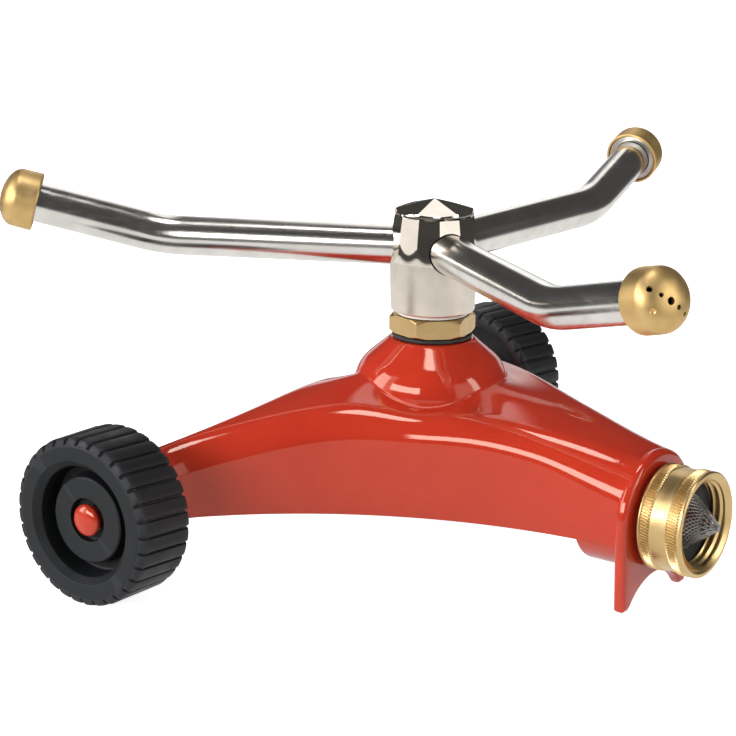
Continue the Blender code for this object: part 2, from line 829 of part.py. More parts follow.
def make_hub(chrome, nylon):
    hub = object_from("hub_body", lathe(hub_profile(), 48), chrome)
    turn = (0, 0, hub_turn)
    depth = hub_height + tool_overrun
    facets = facet_tool(hub_facet_count, hub_top, hub_facet_top, hub_facet_lean, depth)
    combine(hub, tool_from(facets, rotation=turn, name="hub_facets"), "INTERSECT")
    for number in range(arm_count):
        angle = arm_turn + 2 * math.pi * number / arm_count
        hole = rod(tube_radius + seat_gap, 0, hub_waist_radius + tool_overrun)
        turned = (0, math.pi / 2, angle)
        combine(hub, tool_from(hole, (0, 0, arm_height), turned, "arm_socket"), "DIFFERENCE")
    bush_inner = spindle_stem_radius + running_gap
    bush_outer = hub_bush_bore - seat_gap
    bush = [
        (bush_inner, hub_bottom),
        (bush_outer, hub_bottom),
        (bush_outer, bush_top),
        (bush_inner, bush_top),
    ]
    ring_piece("hub_bush", bush, nylon)
    lid = hub_top + seat_gap
    peak = lid + hub_cap_rise
    plug = hub_chamber_radius - seat_gap
    cap = [
        (0, hub_top - hub_cap_plug),
        (plug, hub_top - hub_cap_plug),
        (plug, lid),
        (hub_cap_radius, lid),
        (hub_cap_radius, peak + broken_edge),
        (0, peak + broken_edge),
    ]
    cap_object = object_from("hub_cap", lathe(cap, 48, closed=False), chrome)
    depth = hub_cap_plug + hub_cap_rise + tool_overrun
    pyramid = facet_tool(hub_facet_count // 2, peak, 0.0, 1 / hub_cap_slope, depth)
    combine(cap_object, tool_from(pyramid, rotation=turn, name="cap_pyramid"), "INTERSECT")


# Arms with their nozzles


def arm_path(number):
    """Centre line from the hub to the tube's end, and the outer stretch's start and direction."""
    angle = arm_turn + 2 * math.pi * number / arm_count
    radial = Vector((math.cos(angle), math.sin(angle), 0))
    tangent = Vector((-math.sin(angle), math.cos(angle), 0))
    level = radial * math.cos(outer_lean) + tangent * math.sin(outer_lean)
    outward = level * math.cos(outer_rise) + Vector((0, 0, 1)) * math.sin(outer_rise)
    corner = Vector((0, 0, arm_height)) + radial * bend_reach
    bend = radial.angle(outward)
    trim = bend_radius * math.tan(bend / 2)
    start = Vector((0, 0, arm_height)) + radial * (hub_chamber_radius + seat_gap)
    points = [start]
    steps = 6
    middle = (outward - radial).normalized()
    centre = corner + middle * (bend_radius / math.cos(bend / 2))
    first = corner - radial * trim - centre
    last = corner + outward * trim - centre
    for step in range(steps + 1):
        part = step / steps
        before = math.sin((1 - part) * bend) / math.sin(bend)
        beyond = math.sin(part * bend) / math.sin(bend)
        points.append(centre + first * before + last * beyond)
    points.append(corner + outward * (cap_start + tube_in_cap))
    return points, corner, outward


def tube_mesh(points, outer, inner, segments=18):
    bm = bmesh.new()
    up = Vector((0, 0, 1))
    skins = []
    for radius in (outer, inner):
        rings = []
        for i, point in enumerate(points):
            ahead = points[min(i + 1, len(points) - 1)] - points[max(i - 1, 0)]
            forward = ahead.normalized()
            side = forward.cross(up).normalized()
            over = side.cross(forward)
            ring = []
            for step in range(segments):
                turn = 2 * math.pi * step / segments
                spoke = side * math.cos(turn) + over * math.sin(turn)
                ring.append(bm.verts.new(point + spoke * radius))
            rings.append(ring)
        skins.append(rings)
    for rings in skins:
        for low, high in zip(rings, rings[1:]):
            for step in range(segments):
                after = (step + 1) % segments
                bm.faces.new((low[step], low[after], high[after], high[step]))
    for end in (0, -1):
        outside = skins[0][end]
        inside_ring = skins[1][end]
        for step in range(segments):
            after = (step + 1) % segments
            bm.faces.new((outside[step], outside[after], inside_ring[after], inside_ring[step]))
    return bm


def nozzle_profile():
    shoulder = cap_start + cap_skirt
    inner = cap_radius - cap_wall
    outside = [(cap_radius, cap_start), (cap_radius, shoulder)]
    ridge = cap_radius - seat_gap
    outside += arc((0, shoulder), ridge, 6, 90, 6)[:-1]
    inside_dome = arc((0, shoulder), inner, 68, 0, 3)
    return outside + [(0, shoulder + ridge)], [(0, shoulder + inner)] + inside_dome + [(inner, cap_start)]


def make_arm(number, steel, satin, brass):
    points, corner, outward = arm_path(number)
    label = number + 1
    object_from(f"arm_{label}", tube_mesh(points, tube_radius, tube_radius - tube_wall), steel)
    turn = outward.to_track_quat("Z", "Y").to_euler()
    collar_start = cap_start + 2 * seat_gap
    collar = [
        (tube_radius + seat_gap, collar_start),
        (collar_radius, collar_start),
        (collar_radius, collar_start + collar_length),
        (tube_radius + seat_gap, collar_start + collar_length),
    ]
    ring_piece(f"nozzle_collar_{label}", collar, satin, 24, corner, turn)
    outside, inside_wall = nozzle_profile()
    bm = lathe(outside, 24, closed=False)
    inner = lathe(inside_wall, 24, closed=False)
    skin = bpy.data.meshes.new("nozzle_inner")
    inner.to_mesh(skin)
    inner.free()
    bm.from_mesh(skin)
    rims = [edge for edge in bm.edges if edge.is_boundary]
    bmesh.ops.bridge_loops(bm, edges=rims)
    cap = object_from(f"nozzle_cap_{label}", bm, brass, corner, turn)
    dome_centre = corner + outward * (cap_start + cap_skirt)
    across = outward.cross(Vector((0, 0, 1))).normalized()
    upward = across.cross(outward)
    row = across * math.cos(jet_row_turn) + upward * math.sin(jet_row_turn)
    shift = (upward * math.cos(jet_row_turn) - across * math.sin(jet_row_turn)) * jet_row_shift
    for index, radius in enumerate(jet_radii):
        lean = jet_first + jet_step * index
        aim = outward * math.cos(lean) + row * math.sin(lean) + shift
        drill = rod(radius, cap_radius - 3 * cap_wall, cap_radius + cap_wall, 8)
        tool = tool_from(drill, dome_centre, aim.to_track_quat("Z", "Y").to_euler(), "jet_drill")
        combine(cap, tool, "DIFFERENCE")


def rest_on_origin():
    """Moves the whole part so that the origin lies under the middle of its box, on the ground."""
    bpy.context.view_layer.update()
    graph = bpy.context.evaluated_depsgraph_get()
    corners = []
    for thing in bpy.context.scene.collection.objects:
        if thing.type == "MESH" and not thing.hide_render:
            shown = thing.evaluated_get(graph)
            corners += [shown.matrix_world @ vertex.co for vertex in shown.data.vertices]
    low = [min(corner[i] for corner in corners) for i in range(3)]
    high = [max(corner[i] for corner in corners) for i in range(3)]
    assembly.location = (-(low[0] + high[0]) / 2, -(low[1] + high[1]) / 2, -low[2])
    bpy.context.view_layer.update()


def build():
    global assembly, rotor
    clear_scene()
    assembly = axis_empty("sprinkler", (0, 0, 0))
    rotor = axis_empty("rotor_axis", (0, 0, 0), assembly)
    red = finish("gloss_red", (0.60, 0.045, 0.03), 0.12, 0.0)
    brass = finish("brass", (0.68, 0.50, 0.22), 0.28, 1.0)
    steel = finish("brushed_steel", (0.62, 0.60, 0.57), 0.22, 1.0)
    chrome = finish("satin_chrome", (0.70, 0.68, 0.65), 0.18, 1.0)
    black = finish("matte_black", (0.035, 0.036, 0.038), 0.55, 0.0)
    rubber = finish("rubber", (0.02, 0.02, 0.02), 0.7, 0.0)
    nylon = finish("nylon", (0.80, 0.78, 0.72), 0.45, 0.0)
    gauze = finish("steel_gauze", (0.45, 0.45, 0.45), 0.40, 1.0)
    make_base(red)
    make_wheel(-1, "left", black, steel, red)
    make_wheel(1, "right", black, steel, red)
    make_inlet(brass, rubber, gauze)
    make_spindle(brass, rubber, nylon, steel)
    make_hub(chrome, nylon)
    for number in range(arm_count):
        make_arm(number, steel, chrome, brass)
    rest_on_origin()


build()
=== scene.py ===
import json
import math

import bmesh
import bpy
import numpy as np
from mathutils import Matrix, Vector
from mathutils.geometry import delaunay_2d_cdt


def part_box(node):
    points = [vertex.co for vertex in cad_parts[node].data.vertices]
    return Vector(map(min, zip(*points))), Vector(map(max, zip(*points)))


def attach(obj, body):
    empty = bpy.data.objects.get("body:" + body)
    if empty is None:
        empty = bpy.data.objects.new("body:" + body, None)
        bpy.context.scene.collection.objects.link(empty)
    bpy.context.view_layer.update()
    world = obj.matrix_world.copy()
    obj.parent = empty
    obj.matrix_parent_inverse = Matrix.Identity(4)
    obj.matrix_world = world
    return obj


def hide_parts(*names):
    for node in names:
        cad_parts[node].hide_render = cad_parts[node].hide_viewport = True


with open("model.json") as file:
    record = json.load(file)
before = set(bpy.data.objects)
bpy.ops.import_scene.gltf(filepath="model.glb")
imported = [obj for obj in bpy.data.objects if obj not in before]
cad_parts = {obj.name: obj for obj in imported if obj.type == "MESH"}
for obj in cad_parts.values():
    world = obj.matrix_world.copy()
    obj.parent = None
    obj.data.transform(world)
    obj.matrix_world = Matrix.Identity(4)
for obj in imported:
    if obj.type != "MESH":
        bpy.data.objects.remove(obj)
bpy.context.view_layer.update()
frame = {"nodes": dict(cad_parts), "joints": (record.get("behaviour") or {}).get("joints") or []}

# Places taken from the frame, seen from the spindle's foot
joints = {joint["name"]: Vector(joint["pos_m"]) for joint in frame["joints"]}
spindle = Vector((joints["rotor_spin"].x, joints["rotor_spin"].y, 0))
armHeight = joints["rotor_spin"].z
fit = 0.0003


def nodeBox(name):
    low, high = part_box(name)
    return Vector(low) - spindle, Vector(high) - spindle


# Shape helpers


def roundCorners(points, steps=5, closed=False):
    rounded = []
    count = len(points)
    for i, (x, y, radius) in enumerate(points):
        if radius == 0 or (not closed and i in (0, count - 1)):
            rounded.append((x, y))
            continue
        here = Vector((x, y))
        before = Vector(points[i - 1][:2]) - here
        after = Vector(points[(i + 1) % count][:2]) - here
        half = before.angle(after) / 2
        reach = min(radius / math.tan(half), before.length / 2.1, after.length / 2.1)
        real = reach * math.tan(half)
        middle = (before.normalized() + after.normalized()).normalized()
        centre = here + middle * (real / math.sin(half))
        first = here + before.normalized() * reach - centre
        last = here + after.normalized() * reach - centre
        start = math.atan2(first.y, first.x)
        sweep = (math.atan2(last.y, last.x) - start + math.pi) % (2 * math.pi) - math.pi
        for step in range(steps + 1):
            turn = start + sweep * step / steps
            rounded.append((centre.x + real * math.cos(turn), centre.y + real * math.sin(turn)))
    return rounded


# Adds points near both ends of long stretches, so that smooth shading stays at the corners
def braced(points, gap=0.00025):
    made = [points[0]]
    for first, last in zip(points, points[1:]):
        span = math.dist(first, last)
        if span > 3 * gap:
            for part in (gap / span, 1 - gap / span):
                made.append(tuple(a + (b - a) * part for a, b in zip(first, last)))
        made.append(last)
    return made


def arcPoints(centre, radius, start, end, steps):
    turns = [math.radians(start + (end - start) * i / steps) for i in range(steps + 1)]
    return [(centre[0] + radius * math.cos(t), centre[1] + radius * math.sin(t)) for t in turns]


def arcThrough(first, middle, last, steps):
    a, b, c = Vector(first), Vector(middle), Vector(last)
    d = 2 * (a.x * (b.y - c.y) + b.x * (c.y - a.y) + c.x * (a.y - b.y))
    spans = (a.length_squared, b.length_squared, c.length_squared)
    x = (spans[0] * (b.y - c.y) + spans[1] * (c.y - a.y) + spans[2] * (a.y - b.y)) / d
    y = (spans[0] * (c.x - b.x) + spans[1] * (a.x - c.x) + spans[2] * (b.x - a.x)) / d
    centre = Vector((x, y))
    start = math.atan2(a.y - y, a.x - x)
    sweep = (math.atan2(c.y - y, c.x - x) - start + math.pi) % (2 * math.pi) - math.pi
    return arcPoints(centre, (a - centre).length, math.degrees(start), math.degrees(start + sweep), steps)


def cornerCurve(first, corner, last, steps):
    points = []
    for step in range(steps + 1):
        t = step / steps
        points.append(first * (1 - t) ** 2 + corner * 2 * t * (1 - t) + last * t**2)
    return points


# The point at a radius, a turn and a height round Z
def polar(radius, angle, height):
    return Vector((radius * math.cos(angle), radius * math.sin(angle), height))


def plainShape(row, angle):
    return row[0], row[1]


# Turns rows of points round Z and joins them into a skin
def addTurned(bm, rows, segments, closed=True, place=Matrix(), shape=plainShape, firstTurn=0.0):
    rings = []
    for row in rows:
        if row[0] == 0:
            height = shape(row, 0.0)[1]
            rings.append([bm.verts.new(place @ Vector((0, 0, height)))])
            continue
        ring = []
        for step in range(segments):
            angle = firstTurn + 2 * math.pi * step / segments
            radius, height = shape(row, angle)
            ring.append(bm.verts.new(place @ polar(radius, angle, height)))
        rings.append(ring)
    joinAll(bm, rings + rings[:1] if closed else rings)
    return rings


def joinRings(bm, low, high):
    count = max(len(low), len(high))
    for step in range(count):
        after = (step + 1) % count
        if len(low) == 1:
            bm.faces.new((low[0], high[after], high[step]))
        elif len(high) == 1:
            bm.faces.new((low[step], low[after], high[0]))
        else:
            bm.faces.new((low[step], low[after], high[after], high[step]))


def joinAll(bm, rings, capped=False):
    for low, high in zip(rings, rings[1:]):
        joinRings(bm, low, high)
    if capped:
        bm.faces.new(rings[0])
        bm.faces.new(rings[-1])


# Sweeps a round section along a path; both ends are closed
def addTube(bm, points, radius, sides, inner=0.0):
    up = Vector((0, 0, 1))
    skins = []
    for size in (radius, inner) if inner else (radius,):
        rings = []
        for i, point in enumerate(points):
            ahead = points[min(i + 1, len(points) - 1)] - points[max(i - 1, 0)]
            forward = ahead.normalized()
            side = forward.cross(up if abs(forward.z) < 0.95 else Vector((1, 0, 0))).normalized()
            over = side.cross(forward)
            turns = [2 * math.pi * step / sides for step in range(sides)]
            rings.append([bm.verts.new(point + (side * math.cos(t) + over * math.sin(t)) * size) for t in turns])
        skins.append(rings)
        joinAll(bm, rings)
    for end in (0, -1):
        if inner:
            joinRings(bm, skins[0][end], skins[1][end])
        else:
            bm.faces.new(skins[0][end])


def objectFrom(name, bm, material=None):
    bmesh.ops.recalc_face_normals(bm, faces=bm.faces)
    mesh = bpy.data.meshes.new(name)
    bm.to_mesh(mesh)
    bm.free()
    made = bpy.data.objects.new(name, mesh)
    bpy.context.scene.collection.objects.link(made)
    if material:
        mesh.materials.append(material)
    return made


def evaluatedMesh(thing):
    graph = bpy.context.evaluated_depsgraph_get()
    mesh = bpy.data.meshes.new_from_object(thing.evaluated_get(graph))
    bpy.data.objects.remove(thing)
    return mesh


# Cuts one closed mesh out of another
def cutAway(bm, cutter):
    body = objectFrom("shapeToCut", bm)
    tool = objectFrom("cuttingShape", cutter)
    step = body.modifiers.new("cut", "BOOLEAN")
    step.operation = "DIFFERENCE"
    step.solver = "EXACT"
    step.object = tool
    mesh = evaluatedMesh(body)
    bpy.data.objects.remove(tool)
    after = bmesh.new()
    after.from_mesh(mesh)
    bpy.data.meshes.remove(mesh)
    return after


def finishPiece(name, bm, body, material, replaced=(), sharp=35):
    bmesh.ops.translate(bm, verts=bm.verts, vec=spindle)
    made = objectFrom(name, bm, material)
    made.data.shade_smooth()
    made.data.set_sharp_from_angle(angle=math.radians(sharp))
    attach(made, body)
    if replaced:
        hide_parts(*replaced)


alongX = Matrix.Rotation(math.pi / 2, 4, "Y")


def alongY(side):
    return Matrix.Rotation(-side * math.pi / 2, 4, "X")


# Placement at a spot with Z along a direction
def aimed(spot, direction):
    return Matrix.Translation(spot) @ direction.to_track_quat("Z", "Y").to_matrix().to_4x4()


# Node helpers


# Adds a node with its options, and a value or a link for each input that is named
def addNode(tree, kind, inputs=(), **options):
    node = tree.nodes.new(kind)
    for label, value in options.items():
        setattr(node, label, value)
    for label, value in dict(inputs).items():
        if isinstance(value, bpy.types.NodeSocket):
            tree.links.new(value, node.inputs[label])
        else:
            node.inputs[label].default_value = value
    return node


def calculate(tree, kind, *values):
    return addNode(tree, "ShaderNodeMath", dict(enumerate(values)), operation=kind).outputs[0]


def mapRange(tree, value, fromLow=0.0, fromHigh=1.0, toLow=0.0, toHigh=1.0, smooth=False):
    inputs = {"Value": value, "From Min": fromLow, "From Max": fromHigh, "To Min": toLow, "To Max": toHigh}
    kind = "SMOOTHSTEP" if smooth else "LINEAR"
    return addNode(tree, "ShaderNodeMapRange", inputs, interpolation_type=kind).outputs[0]


# Makes a node group from lists of its inputs and outputs
def newGroup(name, kind, inputs, outputs):
    group = bpy.data.node_groups.new(name, kind)
    places = {}
    for direction, sockets in (("INPUT", inputs), ("OUTPUT", outputs)):
        for label, socketKind in sockets:
            socket = group.interface.new_socket(name=label, in_out=direction, socket_type="NodeSocket" + socketKind)
            places[label] = socket.identifier
    return group, addNode(group, "NodeGroupInput").outputs, places


def closeGroup(group, results):
    addNode(group, "NodeGroupOutput", results)
    return group


# Geometry nodes that repeat a shape round Z, with a step of turn and of rise
def makeCopiesGroup():
    sockets = [("Geometry", "Geometry"), ("Count", "Int"), ("Turn Step", "Float")]
    sockets += [("Rise Step", "Float"), ("Material", "Material")]
    group, given, places = newGroup("turnedCopies", "GeometryNodeTree", sockets, [("Geometry", "Geometry")])
    shift = addNode(group, "ShaderNodeCombineXYZ", {"Z": given["Rise Step"]})
    line = addNode(group, "GeometryNodeMeshLine", {"Count": given["Count"], "Offset": shift.outputs[0]})
    index = addNode(group, "GeometryNodeInputIndex")
    turn = calculate(group, "MULTIPLY", index.outputs[0], given["Turn Step"])
    spin = addNode(group, "ShaderNodeCombineXYZ", {"Z": turn})
    parts = {"Points": line.outputs[0], "Instance": given["Geometry"], "Rotation": spin.outputs[0]}
    place = addNode(group, "GeometryNodeInstanceOnPoints", parts)
    real = addNode(group, "GeometryNodeRealizeInstances", {0: place.outputs[0]})
    painted = {"Geometry": real.outputs[0], "Material": given["Material"]}
    paint = addNode(group, "GeometryNodeSetMaterial", painted)
    return closeGroup(group, {0: paint.outputs[0]}), places


copiesGroup, copiesPlaces = makeCopiesGroup()


def addCopies(bm, pattern, count, turn, rise, material, place=Matrix()):
    source = objectFrom("repeatedShape", pattern, material)
    step = source.modifiers.new("turnedCopies", "NODES")
    step.node_group = copiesGroup
    values = {"Count": count, "Turn Step": turn, "Rise Step": rise, "Material": material}
    for label, value in values.items():
        step[copiesPlaces[label]] = value
    mesh = evaluatedMesh(source)
    mesh.transform(place)
    bm.from_mesh(mesh)
    bpy.data.meshes.remove(mesh)


# Shared surface effects

noiseLimits = (0.35, 0.65)


def makeRippleGroup():
    sockets = [("Vector", "Vector"), ("Scale", "Float"), ("Depth", "Float"), ("Normal", "Vector")]
    group, given, _ = newGroup("surfaceRipple", "ShaderNodeTree", sockets, [("Normal", "Vector"), ("Value", "Float")])
    waves = {"Vector": given["Vector"], "Scale": given["Scale"], "Detail": 3.0}
    noise = addNode(group, "ShaderNodeTexNoise", waves).outputs["Fac"]
    relief = {"Strength": 1.0, "Distance": given["Depth"], "Height": noise, "Normal": given["Normal"]}
    bump = addNode(group, "ShaderNodeBump", relief)
    return closeGroup(group, {"Normal": bump.outputs[0], "Value": noise})


def makeSmudgeGroup():
    sockets = [("Vector", "Vector"), ("Scale", "Float"), ("Low", "Float"), ("High", "Float")]
    group, given, _ = newGroup("smudge", "ShaderNodeTree", sockets, [("Value", "Float")])
    patches = {"Vector": given["Vector"], "Scale": given["Scale"], "Detail": 4.0}
    noise = addNode(group, "ShaderNodeTexNoise", patches)
    value = mapRange(group, noise.outputs["Fac"], *noiseLimits, given["Low"], given["High"])
    return closeGroup(group, {"Value": value})


def makeEdgeGroup():
    group, given, _ = newGroup("edgeMask", "ShaderNodeTree", [("Low", "Float"), ("High", "Float")], [("Mask", "Float")])
    shape = addNode(group, "ShaderNodeNewGeometry")
    return closeGroup(group, {"Mask": mapRange(group, shape.outputs["Pointiness"], given["Low"], given["High"])})


rippleGroup = makeRippleGroup()
smudgeGroup = makeSmudgeGroup()
edgeGroup = makeEdgeGroup()


class Paint:
    def __init__(self, name, metallic, constants=()):
        self.material = bpy.data.materials.new(name)
        self.material.use_nodes = True
        self.tree = self.material.node_tree
        self.shader = self.tree.nodes["Principled BSDF"]
        self.shader.inputs["Metallic"].default_value = metallic
        for label, value in dict(constants).items():
            self.shader.inputs[label].default_value = value
        self.coords = self.node("ShaderNodeTexCoord").outputs["Object"]

    def node(self, kind, inputs=(), **options):
        return addNode(self.tree, kind, inputs, **options)

    def effect(self, group, **values):
        inputs = {label.title(): value for label, value in values.items()}
        return self.node("ShaderNodeGroup", inputs, node_tree=group).outputs

    def stretched(self, scale, turn=0.0):
        kind = "TEXTURE" if turn else "POINT"
        inputs = {"Rotation": (0, 0, turn), "Vector": self.coords}
        turned = self.node("ShaderNodeMapping", inputs, vector_type=kind)
        scaled = self.node("ShaderNodeVectorMath", {0: turned.outputs[0], 1: scale}, operation="MULTIPLY")
        return scaled.outputs[0]

    def smudge(self, scale, low=0.0, high=1.0, vector=None):
        return self.effect(smudgeGroup, vector=vector or self.coords, scale=scale, low=low, high=high)["Value"]

    def setColours(self, factor, first, second):
        inputs = {0: factor, 6: (*first, 1), 7: (*second, 1)}
        mixed = self.node("ShaderNodeMix", inputs=inputs, data_type="RGBA")
        self.set("Base Color", mixed.outputs[2])

    # Sets the normal from layers of relief, each a scale and a depth
    def setRelief(self, layers, vector=None):
        values = {"vector": vector or self.coords}
        for scale, depth in layers:
            values["normal"] = self.effect(rippleGroup, scale=scale, depth=depth, **values)["Normal"]
        self.set("Normal", values["normal"])

    def set(self, label, source):
        self.tree.links.new(source, self.shader.inputs[label])


# Materials

redPaint = {
    "colour": (0.475, 0.031, 0.0135),
    "second": (0.505, 0.037, 0.016),
    "patches": 60.0,
    "roughness": (0.035, 0.07),
    "smudges": 45.0,
    "relief": ((90.0, 0.00003), (900.0, 0.000006)),
}
blackPlastic = {
    "colour": (0.0098, 0.0108, 0.0122),
    "second": (0.020, 0.021, 0.024),
    "edges": (0.505, 0.57),
    "roughness": (0.42, 0.58),
    "smudges": 120.0,
    "relief": ((2600.0, 0.00002),),
}
rubberLook = {
    "colour": (0.012, 0.012, 0.013),
    "second": (0.03, 0.03, 0.03),
    "patches": 200.0,
    "roughness": (0.55, 0.75),
    "smudges": 150.0,
    "relief": ((1500.0, 0.00001),),
}
nylonLook = {
    "colour": (0.78, 0.76, 0.70),
    "second": (0.70, 0.68, 0.61),
    "patches": 300.0,
    "roughness": (0.38, 0.50),
    "smudges": 200.0,
    "relief": ((1200.0, 0.000005),),
}


# Paint or plastic: two colours, patchy gloss and fine relief
def makePlain(name, look, constants=()):
    paint = Paint(name, 0.0, constants)
    if "edges" in look:
        low, high = look["edges"]
        mask = paint.effect(edgeGroup, low=low, high=high)["Mask"]
    else:
        mask = paint.smudge(look["patches"])
    paint.setColours(mask, look["colour"], look["second"])
    paint.set("Roughness", paint.smudge(look["smudges"], *look["roughness"]))
    paint.setRelief(look["relief"])
    return paint.material


metalLooks = {
    "brass": {"colour": (0.70, 0.50, 0.235), "tarnish": (0.60, 0.42, 0.185), "roughness": (0.28, 0.38)},
    "nozzle": {"colour": (0.80, 0.55, 0.24), "tarnish": (0.66, 0.45, 0.18), "roughness": (0.42, 0.52)},
    "tube": {"colour": (0.80, 0.77, 0.725), "tarnish": (0.71, 0.68, 0.635), "roughness": (0.17, 0.24)},
    "zinc": {"colour": (0.62, 0.61, 0.58), "tarnish": (0.50, 0.49, 0.46), "roughness": (0.22, 0.34)},
    "collar": {"colour": (0.66, 0.65, 0.61), "tarnish": (0.50, 0.49, 0.45), "roughness": (0.28, 0.42)},
    "gauze": {"colour": (0.50, 0.50, 0.485), "tarnish": (0.22, 0.22, 0.21), "roughness": (0.36, 0.50)},
}


# A metal with fine lines along or round one direction, and a slight tarnish
def makeMetal(name, label, lines, depth, turn=0.0):
    look = metalLooks[label]
    paint = Paint(name, 1.0)
    paint.setColours(paint.smudge(110.0), look["colour"], look["tarnish"])
    along = paint.stretched(lines, turn)
    paint.set("Roughness", paint.smudge(1.0, *look["roughness"], vector=along))
    paint.setRelief([(1.0, depth)], along)
    return paint.material


hubLook = {
    "colour": (0.84, 0.76, 0.665),
    "tarnish": (0.75, 0.68, 0.59),
    "satin": 0.30,
    "polished": 0.06,
    "boundary": 0.0937,
    "blur": 0.0004,
    "lines": (30.0, 30.0, 5200.0),
    "lineDepth": 0.000004,
}


# Brushed below the boundary and polished above it
def makeHubMetal():
    look = hubLook
    paint = Paint("satinHub", 1.0)
    paint.setColours(paint.smudge(140.0), look["colour"], look["tarnish"])
    height = paint.node("ShaderNodeSeparateXYZ", {0: paint.coords}).outputs["Z"]
    limits = (look["boundary"] - look["blur"], look["boundary"] + look["blur"])
    upper = mapRange(paint.tree, height, *limits, smooth=True)
    paint.set("Roughness", mapRange(paint.tree, upper, toLow=look["satin"], toHigh=look["polished"]))
    depth = mapRange(paint.tree, upper, toLow=look["lineDepth"], toHigh=0.0)
    paint.setRelief([(1.0, depth)], paint.stretched(look["lines"]))
    return paint.material


# Specular Tint warms every reflection on the red paint: a painted warm tint that stands in for warm studio light, not a
# colour of the paint itself
glossAndWarmReflectionTint = {"IOR": 1.5, "Specular IOR Level": 0.64, "Specular Tint": (1.0, 0.84, 0.70, 1)}
glossRed = makePlain("glossRed", redPaint, glossAndWarmReflectionTint)
mouldedBlack = makePlain("mouldedBlack", blackPlastic, {"Specular IOR Level": 0.28})
blackRubber = makePlain("blackRubber", rubberLook)
whiteNylon = makePlain("whiteNylon", nylonLook)
hubMetal = makeHubMetal()
couplingBrass = makeMetal("couplingBrass", "brass", (2600.0, 60.0, 60.0), 0.000003)
hexBrass = makeMetal("hexBrass", "brass", (90.0, 90.0, 1800.0), 0.000003)
nozzleBrass = makeMetal("nozzleMetal", "nozzle", (420.0, 420.0, 420.0), 0.000004)
zincSteel = makeMetal("zincMetal", "zinc", (700.0, 700.0, 700.0), 0.000004)
collarSteel = makeMetal("collarMetal", "collar", (500.0, 500.0, 500.0), 0.000002)
gauzeSteel = makeMetal("gauzeMetal", "gauze", (900.0, 900.0, 900.0), 0.000004)
print("materials made")

# Cast base

castLook = {
    "wall": 0.0030,
    "rimHeight": 0.0200,
    "rimEdge": 0.0006,
    "edgeRadius": 0.0085,
    "edgeGrowth": 0.0030,
    "growthStart": 0.0500,
    "inletHalfWidth": 0.0176,
    "legFrontX": -0.0385,
    "legRearX": -0.0575,
    "legCorner": 0.0055,
    "frontMiddle": (0.0137, -0.0349),
    "frontEnd": (-0.0330, -0.0722),
    "rearMiddleX": -0.0340,
    "wheelRidge": 0.0640,
    "wheelFall": 0.245,
    "wheelCrown": 0.0015,
    "inletRidge": 0.0620,
    "inletFall": 0.200,
    "inletCrown": 0.0022,
    "saddle": 0.0520,
    "saddleRise": 0.0036,
    "domeFoot": (0.0245, 0.0515),
    "domeShoulder": (0.0205, 0.0625),
    "domeTopRadius": 0.0128,
    "domeBulge": 0.0013,
    "domeFillet": 0.0009,
    "shoulderRound": 0.0060,
    "topRound": 0.0012,
    "seatEdge": 0.0032,
    "seatRadius": 0.0091,
    "seatDepth": 0.0020,
    "hollow": 0.0205,
    "softness": 10,
    "spacing": 0.0013,
    "spacingBelow": 0.0040,
    "rowShare": 0.866,
    "leastGap": 0.00018,
    "leastShare": 0.4,
    "bandShare": 0.90,
    "bandRows": 12,
    "tipLength": 0.018,
    "tipGap": 0.0012,
    "endGap": 0.0005,
    "reach": 0.13,
    "domeColumns": 144,
    "hollowColumns": 72,
}
planSteps = {"end": 12, "front": 90, "flare": 14, "corner": 10, "halfRear": 70}
baseHigh = nodeBox("base_casting")[1]
flangeFrontX = baseHigh.x
flangeThickness = 0.0040
flangeBackX = flangeFrontX - flangeThickness
domeTop = baseHigh.z
legEndY = baseHigh.y
couplingLow, couplingHigh = nodeBox("hose_coupling")
inletHeight = (couplingLow.z + couplingHigh.z) / 2
inletAxis = Matrix.Translation((0, 0, inletHeight)) @ alongX


# Plan of the -Y half as four stretches: inlet end, front wall, leg end and rear wall
def halfPlan():
    look = castLook
    steps = planSteps
    endX = flangeBackX + flangeThickness / 2
    width = look["inletHalfWidth"]
    end = [(endX, -width * i / steps["end"]) for i in range(steps["end"] + 1)]
    front = arcThrough((endX, -width), look["frontMiddle"], look["frontEnd"], steps["front"])
    last = Vector(front[-1])
    heading = (last - Vector(front[-2])).normalized()
    bend = last + heading * ((look["legFrontX"] - last.x) / heading.x)
    corner = look["legCorner"]
    flareY = -(legEndY - corner)
    flare = cornerCurve(last, bend, Vector((look["legFrontX"], flareY)), steps["flare"])
    front += [tuple(point) for point in flare[1:]]
    tip = arcPoints((look["legFrontX"] - corner, flareY), corner, 0, -90, steps["corner"])
    tip += [(look["legFrontX"] + (look["legRearX"] - look["legFrontX"]) * part, -legEndY) for part in (0.4, 0.5, 0.6)]
    tip += arcPoints((look["legRearX"] + corner, flareY), corner, -90, -180, steps["corner"])
    rearStart = (look["legRearX"], flareY)
    half = steps["halfRear"]
    rear = arcThrough(rearStart, (look["rearMiddleX"], 0), (rearStart[0], -rearStart[1]), 2 * half)[: half + 1]
    return end, front, tip, rear


# Least distance from each point to an open line, worked out for some points at a time
def distanceTo(run, points, batch=2000):
    start = np.array(run[:-1])
    along = np.array(run[1:]) - start
    span = (along**2).sum(1)
    best = np.full(len(points), 1.0)
    for first in range(0, len(points), batch):
        part = points[first : first + batch]
        offset = part[:, None, :] - start[None]
        t = np.clip((offset * along).sum(2) / span, 0, 1)
        best[first : first + batch] = np.linalg.norm(offset - along * t[..., None], axis=2).min(1)
    return best


def smoothStep(value):
    part = np.clip(value, 0, 1)
    return part * part * (3 - 2 * part)


def softLeast(values, power):
    return (np.maximum(values, 1e-7) ** -power).sum(0) ** (-1 / power)


castEnd, castFront, castTip, castRear = halfPlan()
mirrored = [[(x, -y) for x, y in run] for run in (castFront, castTip, castRear)]
castWalls = [castFront, castTip, castRear + mirrored[2][::-1][1:], mirrored[1], mirrored[0]]


